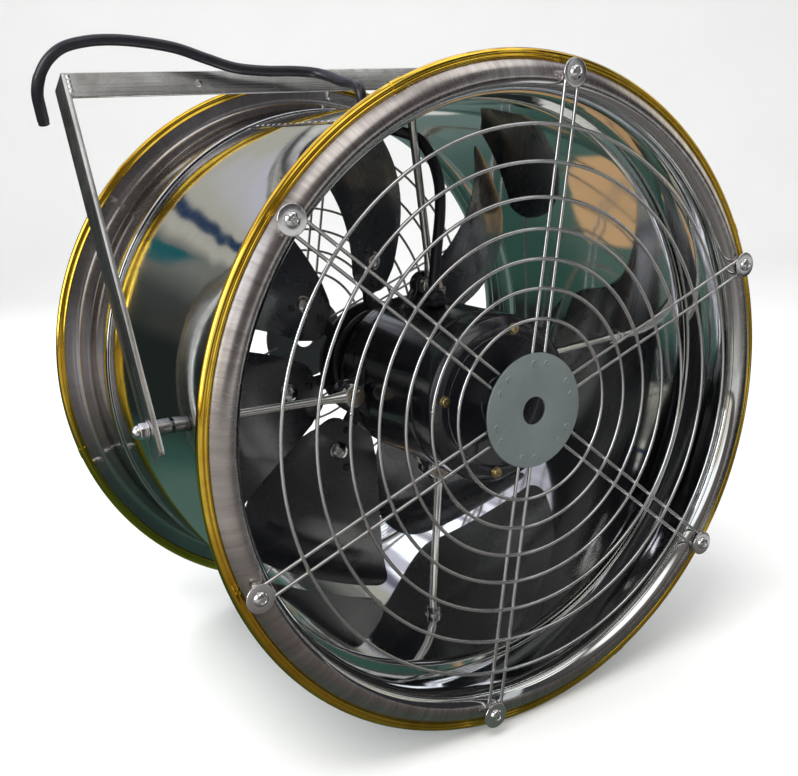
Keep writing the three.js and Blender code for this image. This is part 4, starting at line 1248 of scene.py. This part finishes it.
# the sweep is turned to face the camera
ang_ = 31.5
v = ry(np.asarray(v), 0)
c_, s_2 = math.cos(-ang_ * DEG), math.sin(-ang_ * DEG)
v = np.stack([v[:, 0] * c_ - v[:, 1] * s_2, v[:, 0] * s_2 + v[:, 1] * c_, v[:, 2]], 1)
sweep = stage_mesh("floor_sweep", v, f, fm)

world = D.worlds.new("studio")
bpy.context.scene.world = world
world.use_nodes = True
n = N(world.node_tree)
lp = n.node("ShaderNodeLightPath")
gen = n.node("ShaderNodeTexCoord").outputs["Generated"]
x, y, z = n.xyz(gen)
# what only the polished metal sees: a dim hall with a pale wall and tall panes
wob = n.noise(gen, 4.0, 3, 0.55)
zz = n.math("ADD", z, n.math("MULTIPLY", n.math("SUBTRACT", wob, 0.5), 0.05))
az = n.math("ADD", n.math("ARCTAN2", x, y), n.math("MULTIPLY", n.math("SUBTRACT", n.noise(gen, 3.0, 2, 0.5), 0.5), 0.10))
hall = n.mix(n.ramp(zz, -0.04, 0.12), (0.012, 0.016, 0.015), (0.045, 0.05, 0.048))
hall = n.mix(n.ramp(zz, 0.13, 0.24), hall, (0.17, 0.172, 0.16))
hall = n.mix(n.ramp(zz, 0.275, 0.30), hall, (0.42, 0.41, 0.36))
stripe = n.math("MULTIPLY", n.ramp(n.math("ABSOLUTE", n.math("SUBTRACT", n.math("ADD", z, n.math("MULTIPLY", n.math("SUBTRACT", wob, 0.5), 0.008)), 0.335)), 0.013, 0.010), n.ramp(az, 0.10, 0.02))
post = n.math("MULTIPLY", n.ramp(n.math("SINE", n.math("MULTIPLY", az, 31.0)), 0.62, 0.74), n.math("MULTIPLY", n.ramp(z, 0.01, 0.03), n.ramp(z, 0.27, 0.255)))
hall = n.mix(n.math("MULTIPLY", post, 0.55), hall, (0.050, 0.048, 0.044))
sheet_ = n.math("MULTIPLY", n.ramp(n.math("ABSOLUTE", n.math("ADD", az, 0.17)), 0.085, 0.075), n.ramp(n.math("ABSOLUTE", n.math("SUBTRACT", zz, 0.238)), 0.034, 0.028))
hall = n.mix(sheet_, hall, (0.010, 0.095, 0.110))
hall = n.mix(stripe, hall, (0.008, 0.030, 0.080))
hall = n.mix(n.ramp(zz, 0.37, 0.41), hall, (0.50, 0.49, 0.56))
beam = n.ramp(n.math("ABSOLUTE", n.math("SUBTRACT", zz, 0.455)), 0.030, 0.012)
hall = n.mix(n.math("MULTIPLY", beam, 0.85), hall, (0.07, 0.075, 0.13))
bars = n.ramp(n.math("SINE", n.math("MULTIPLY", az, 26.0)), -0.80, -0.55)
rows_ = n.ramp(n.math("SINE", n.math("MULTIPLY", zz, 44.0)), -0.85, -0.6)
pane = n.math("MULTIPLY", n.math("MULTIPLY", bars, rows_), n.math("MULTIPLY", n.ramp(zz, 0.475, 0.495), n.ramp(zz, 0.78, 0.74)))
pane = n.math("MULTIPLY", pane, n.ramp(n.math("ABSOLUTE", n.math("SUBTRACT", az, 0.34)), 0.50, 0.42))
streak = n.noise(n.scale(gen, (9.0, 1.2, 1.2)), 2.2, 3, 0.6, 0.8)
roof = n.mix(n.ramp(wob, 0.4, 0.6), (0.22, 0.22, 0.28), (0.60, 0.59, 0.70))
roof = n.mix(n.ramp(z, 0.58, 0.66), roof, n.mix(n.ramp(streak, 0.40, 0.52), (0.34, 0.34, 0.44), (1.30, 1.27, 1.42)))
hall = n.mix(n.ramp(zz, 0.47, 0.50), hall, roof)
hall = n.mix(pane, hall, (1.5, 1.6, 1.75))
# the side the front mouth faces: a plain warm grey room, dimmer to the right
room = n.mix(n.ramp(z, 0.0, 0.55), (0.085, 0.078, 0.075), (0.17, 0.155, 0.150))
room = n.mix(n.ramp(x, 0.0, 0.6), room, (0.030, 0.031, 0.036))
toward = n.math("ADD", n.math("ADD", n.math("MULTIPLY", x, -0.10), n.math("MULTIPLY", y, -0.53)), n.math("MULTIPLY", z, 0.842))
room = n.mix(n.ramp(toward, 0.930, 0.968), room, (1.45, 1.42, 1.40))
toward = n.math("ADD", n.math("ADD", n.math("MULTIPLY", x, -0.80), n.math("MULTIPLY", y, -0.45)), n.math("MULTIPLY", z, 0.40))
room = n.mix(n.ramp(toward, 0.905, 0.945), room, (1.25, 1.27, 1.32))
room = n.mix(n.ramp(n.math("ABSOLUTE", n.math("SUBTRACT", x, 0.62)), 0.045, 0.030), room, (0.60, 0.61, 0.63))
toward = n.math("ADD", n.math("ADD", n.math("MULTIPLY", x, 0.45), n.math("MULTIPLY", y, -0.15)), n.math("MULTIPLY", z, 0.88))
room = n.mix(n.ramp(toward, 0.955, 0.972), room, (1.45, 1.44, 1.40))
hall = n.mix(n.ramp(y, 0.12, -0.12), hall, room)
hall = n.mix(n.math("MULTIPLY", n.ramp(x, -0.72, -0.80), n.ramp(z, 0.40, 0.33)), hall, (0.80, 0.75, 0.65))
toward = n.math("ADD", n.math("ADD", n.math("MULTIPLY", x, 0.97), n.math("MULTIPLY", y, 0.02)), n.math("MULTIPLY", z, 0.24))
hall = n.mix(n.ramp(toward, 0.950, 0.965), hall, (0.95, 0.89, 0.78))
hall = n.mix(n.ramp(z, 0.0, -0.03), hall, n.mix(n.ramp(y, 0.1, -0.1), (0.014, 0.019, 0.017), (0.13, 0.115, 0.11)))
bg_g = n.node("ShaderNodeBackground")
n.put(bg_g.inputs[0], hall)
bg_g.inputs[1].default_value = 1.0
bg_c = n.node("ShaderNodeBackground")
bg_c.inputs[0].default_value = (0.93, 0.94, 0.95, 1)
bg_c.inputs[1].default_value = 0.85
mx = n.node("ShaderNodeMixShader")
n.put(mx.inputs[0], lp.outputs["Is Glossy Ray"])
n.t.links.new(bg_c.outputs[0], mx.inputs[1])
n.t.links.new(bg_g.outputs[0], mx.inputs[2])
wo = n.node("ShaderNodeOutputWorld")
n.t.links.new(mx.outputs[0], wo.inputs[0])


def area(name, loc, target, size, power, color=(1, 1, 1), spread=180, mirror=True):
    l = D.lights.new(name, "AREA")
    l.shape = "RECTANGLE"
    l.size, l.size_y = size
    l.energy = power
    l.color = color
    l.spread = spread * DEG
    o = D.objects.new(name, l)
    bpy.context.scene.collection.objects.link(o)
    loc = np.array(loc, float) / 1000 + PIV
    tgt = np.array(target, float) / 1000 + PIV
    o.location = loc
    d = Vector(tgt - loc)
    o.rotation_euler = d.to_track_quat("-Z", "Y").to_euler()
    o.visible_glossy = mirror
    return o


area("key_top", (-900, -500, 2100), (0, 0, 0), (1.6, 1.2), 46, (1.0, 0.99, 0.97), mirror=False)
area("window_left", (-2300, -200, 900), (-200, 0, 50), (1.2, 1.6), 26, (0.93, 0.96, 1.0))
area("fill_front", (600, -2600, 900), (0, 0, 0), (1.8, 1.2), 16, (1.0, 0.98, 0.96), mirror=False)
area("back_top", (300, 2000, 1500), (0, 100, 0), (1.6, 1.0), 22, (0.96, 0.98, 1.0), mirror=False)

# --------------------------------------------------------------------- camera
cam = D.cameras.new("camera")
co_ = D.objects.new("camera", cam)
bpy.context.scene.collection.objects.link(co_)
yaw, pitch, roll = 31.47 * DEG, -14.50 * DEG, -2.886 * DEG
fwd = np.array([math.sin(yaw) * math.cos(pitch), math.cos(yaw) * math.cos(pitch), math.sin(pitch)])
right = np.array([math.cos(yaw), -math.sin(yaw), 0.0])
up = np.cross(right, fwd)
r2 = right * math.cos(roll) + up * math.sin(roll)
u2 = -right * math.sin(roll) + up * math.cos(roll)
loc = np.array([-531.9, -823.5, 242.8]) / 1000 + PIV
mw = Matrix.Identity(4)
for i in range(3):
    mw[i][0], mw[i][1], mw[i][2], mw[i][3] = r2[i], u2[i], -fwd[i], loc[i]
co_.matrix_world = mw
cam.sensor_width = 36.0
cam.lens = 999.42 / 798 * 36.0
cam.shift_x = (399 - 400.1) / 798
cam.shift_y = (386.3 - 388) / 798
cam.clip_start = 0.02
bpy.context.scene.camera = co_
bpy.context.scene.view_settings.view_transform = "Standard"
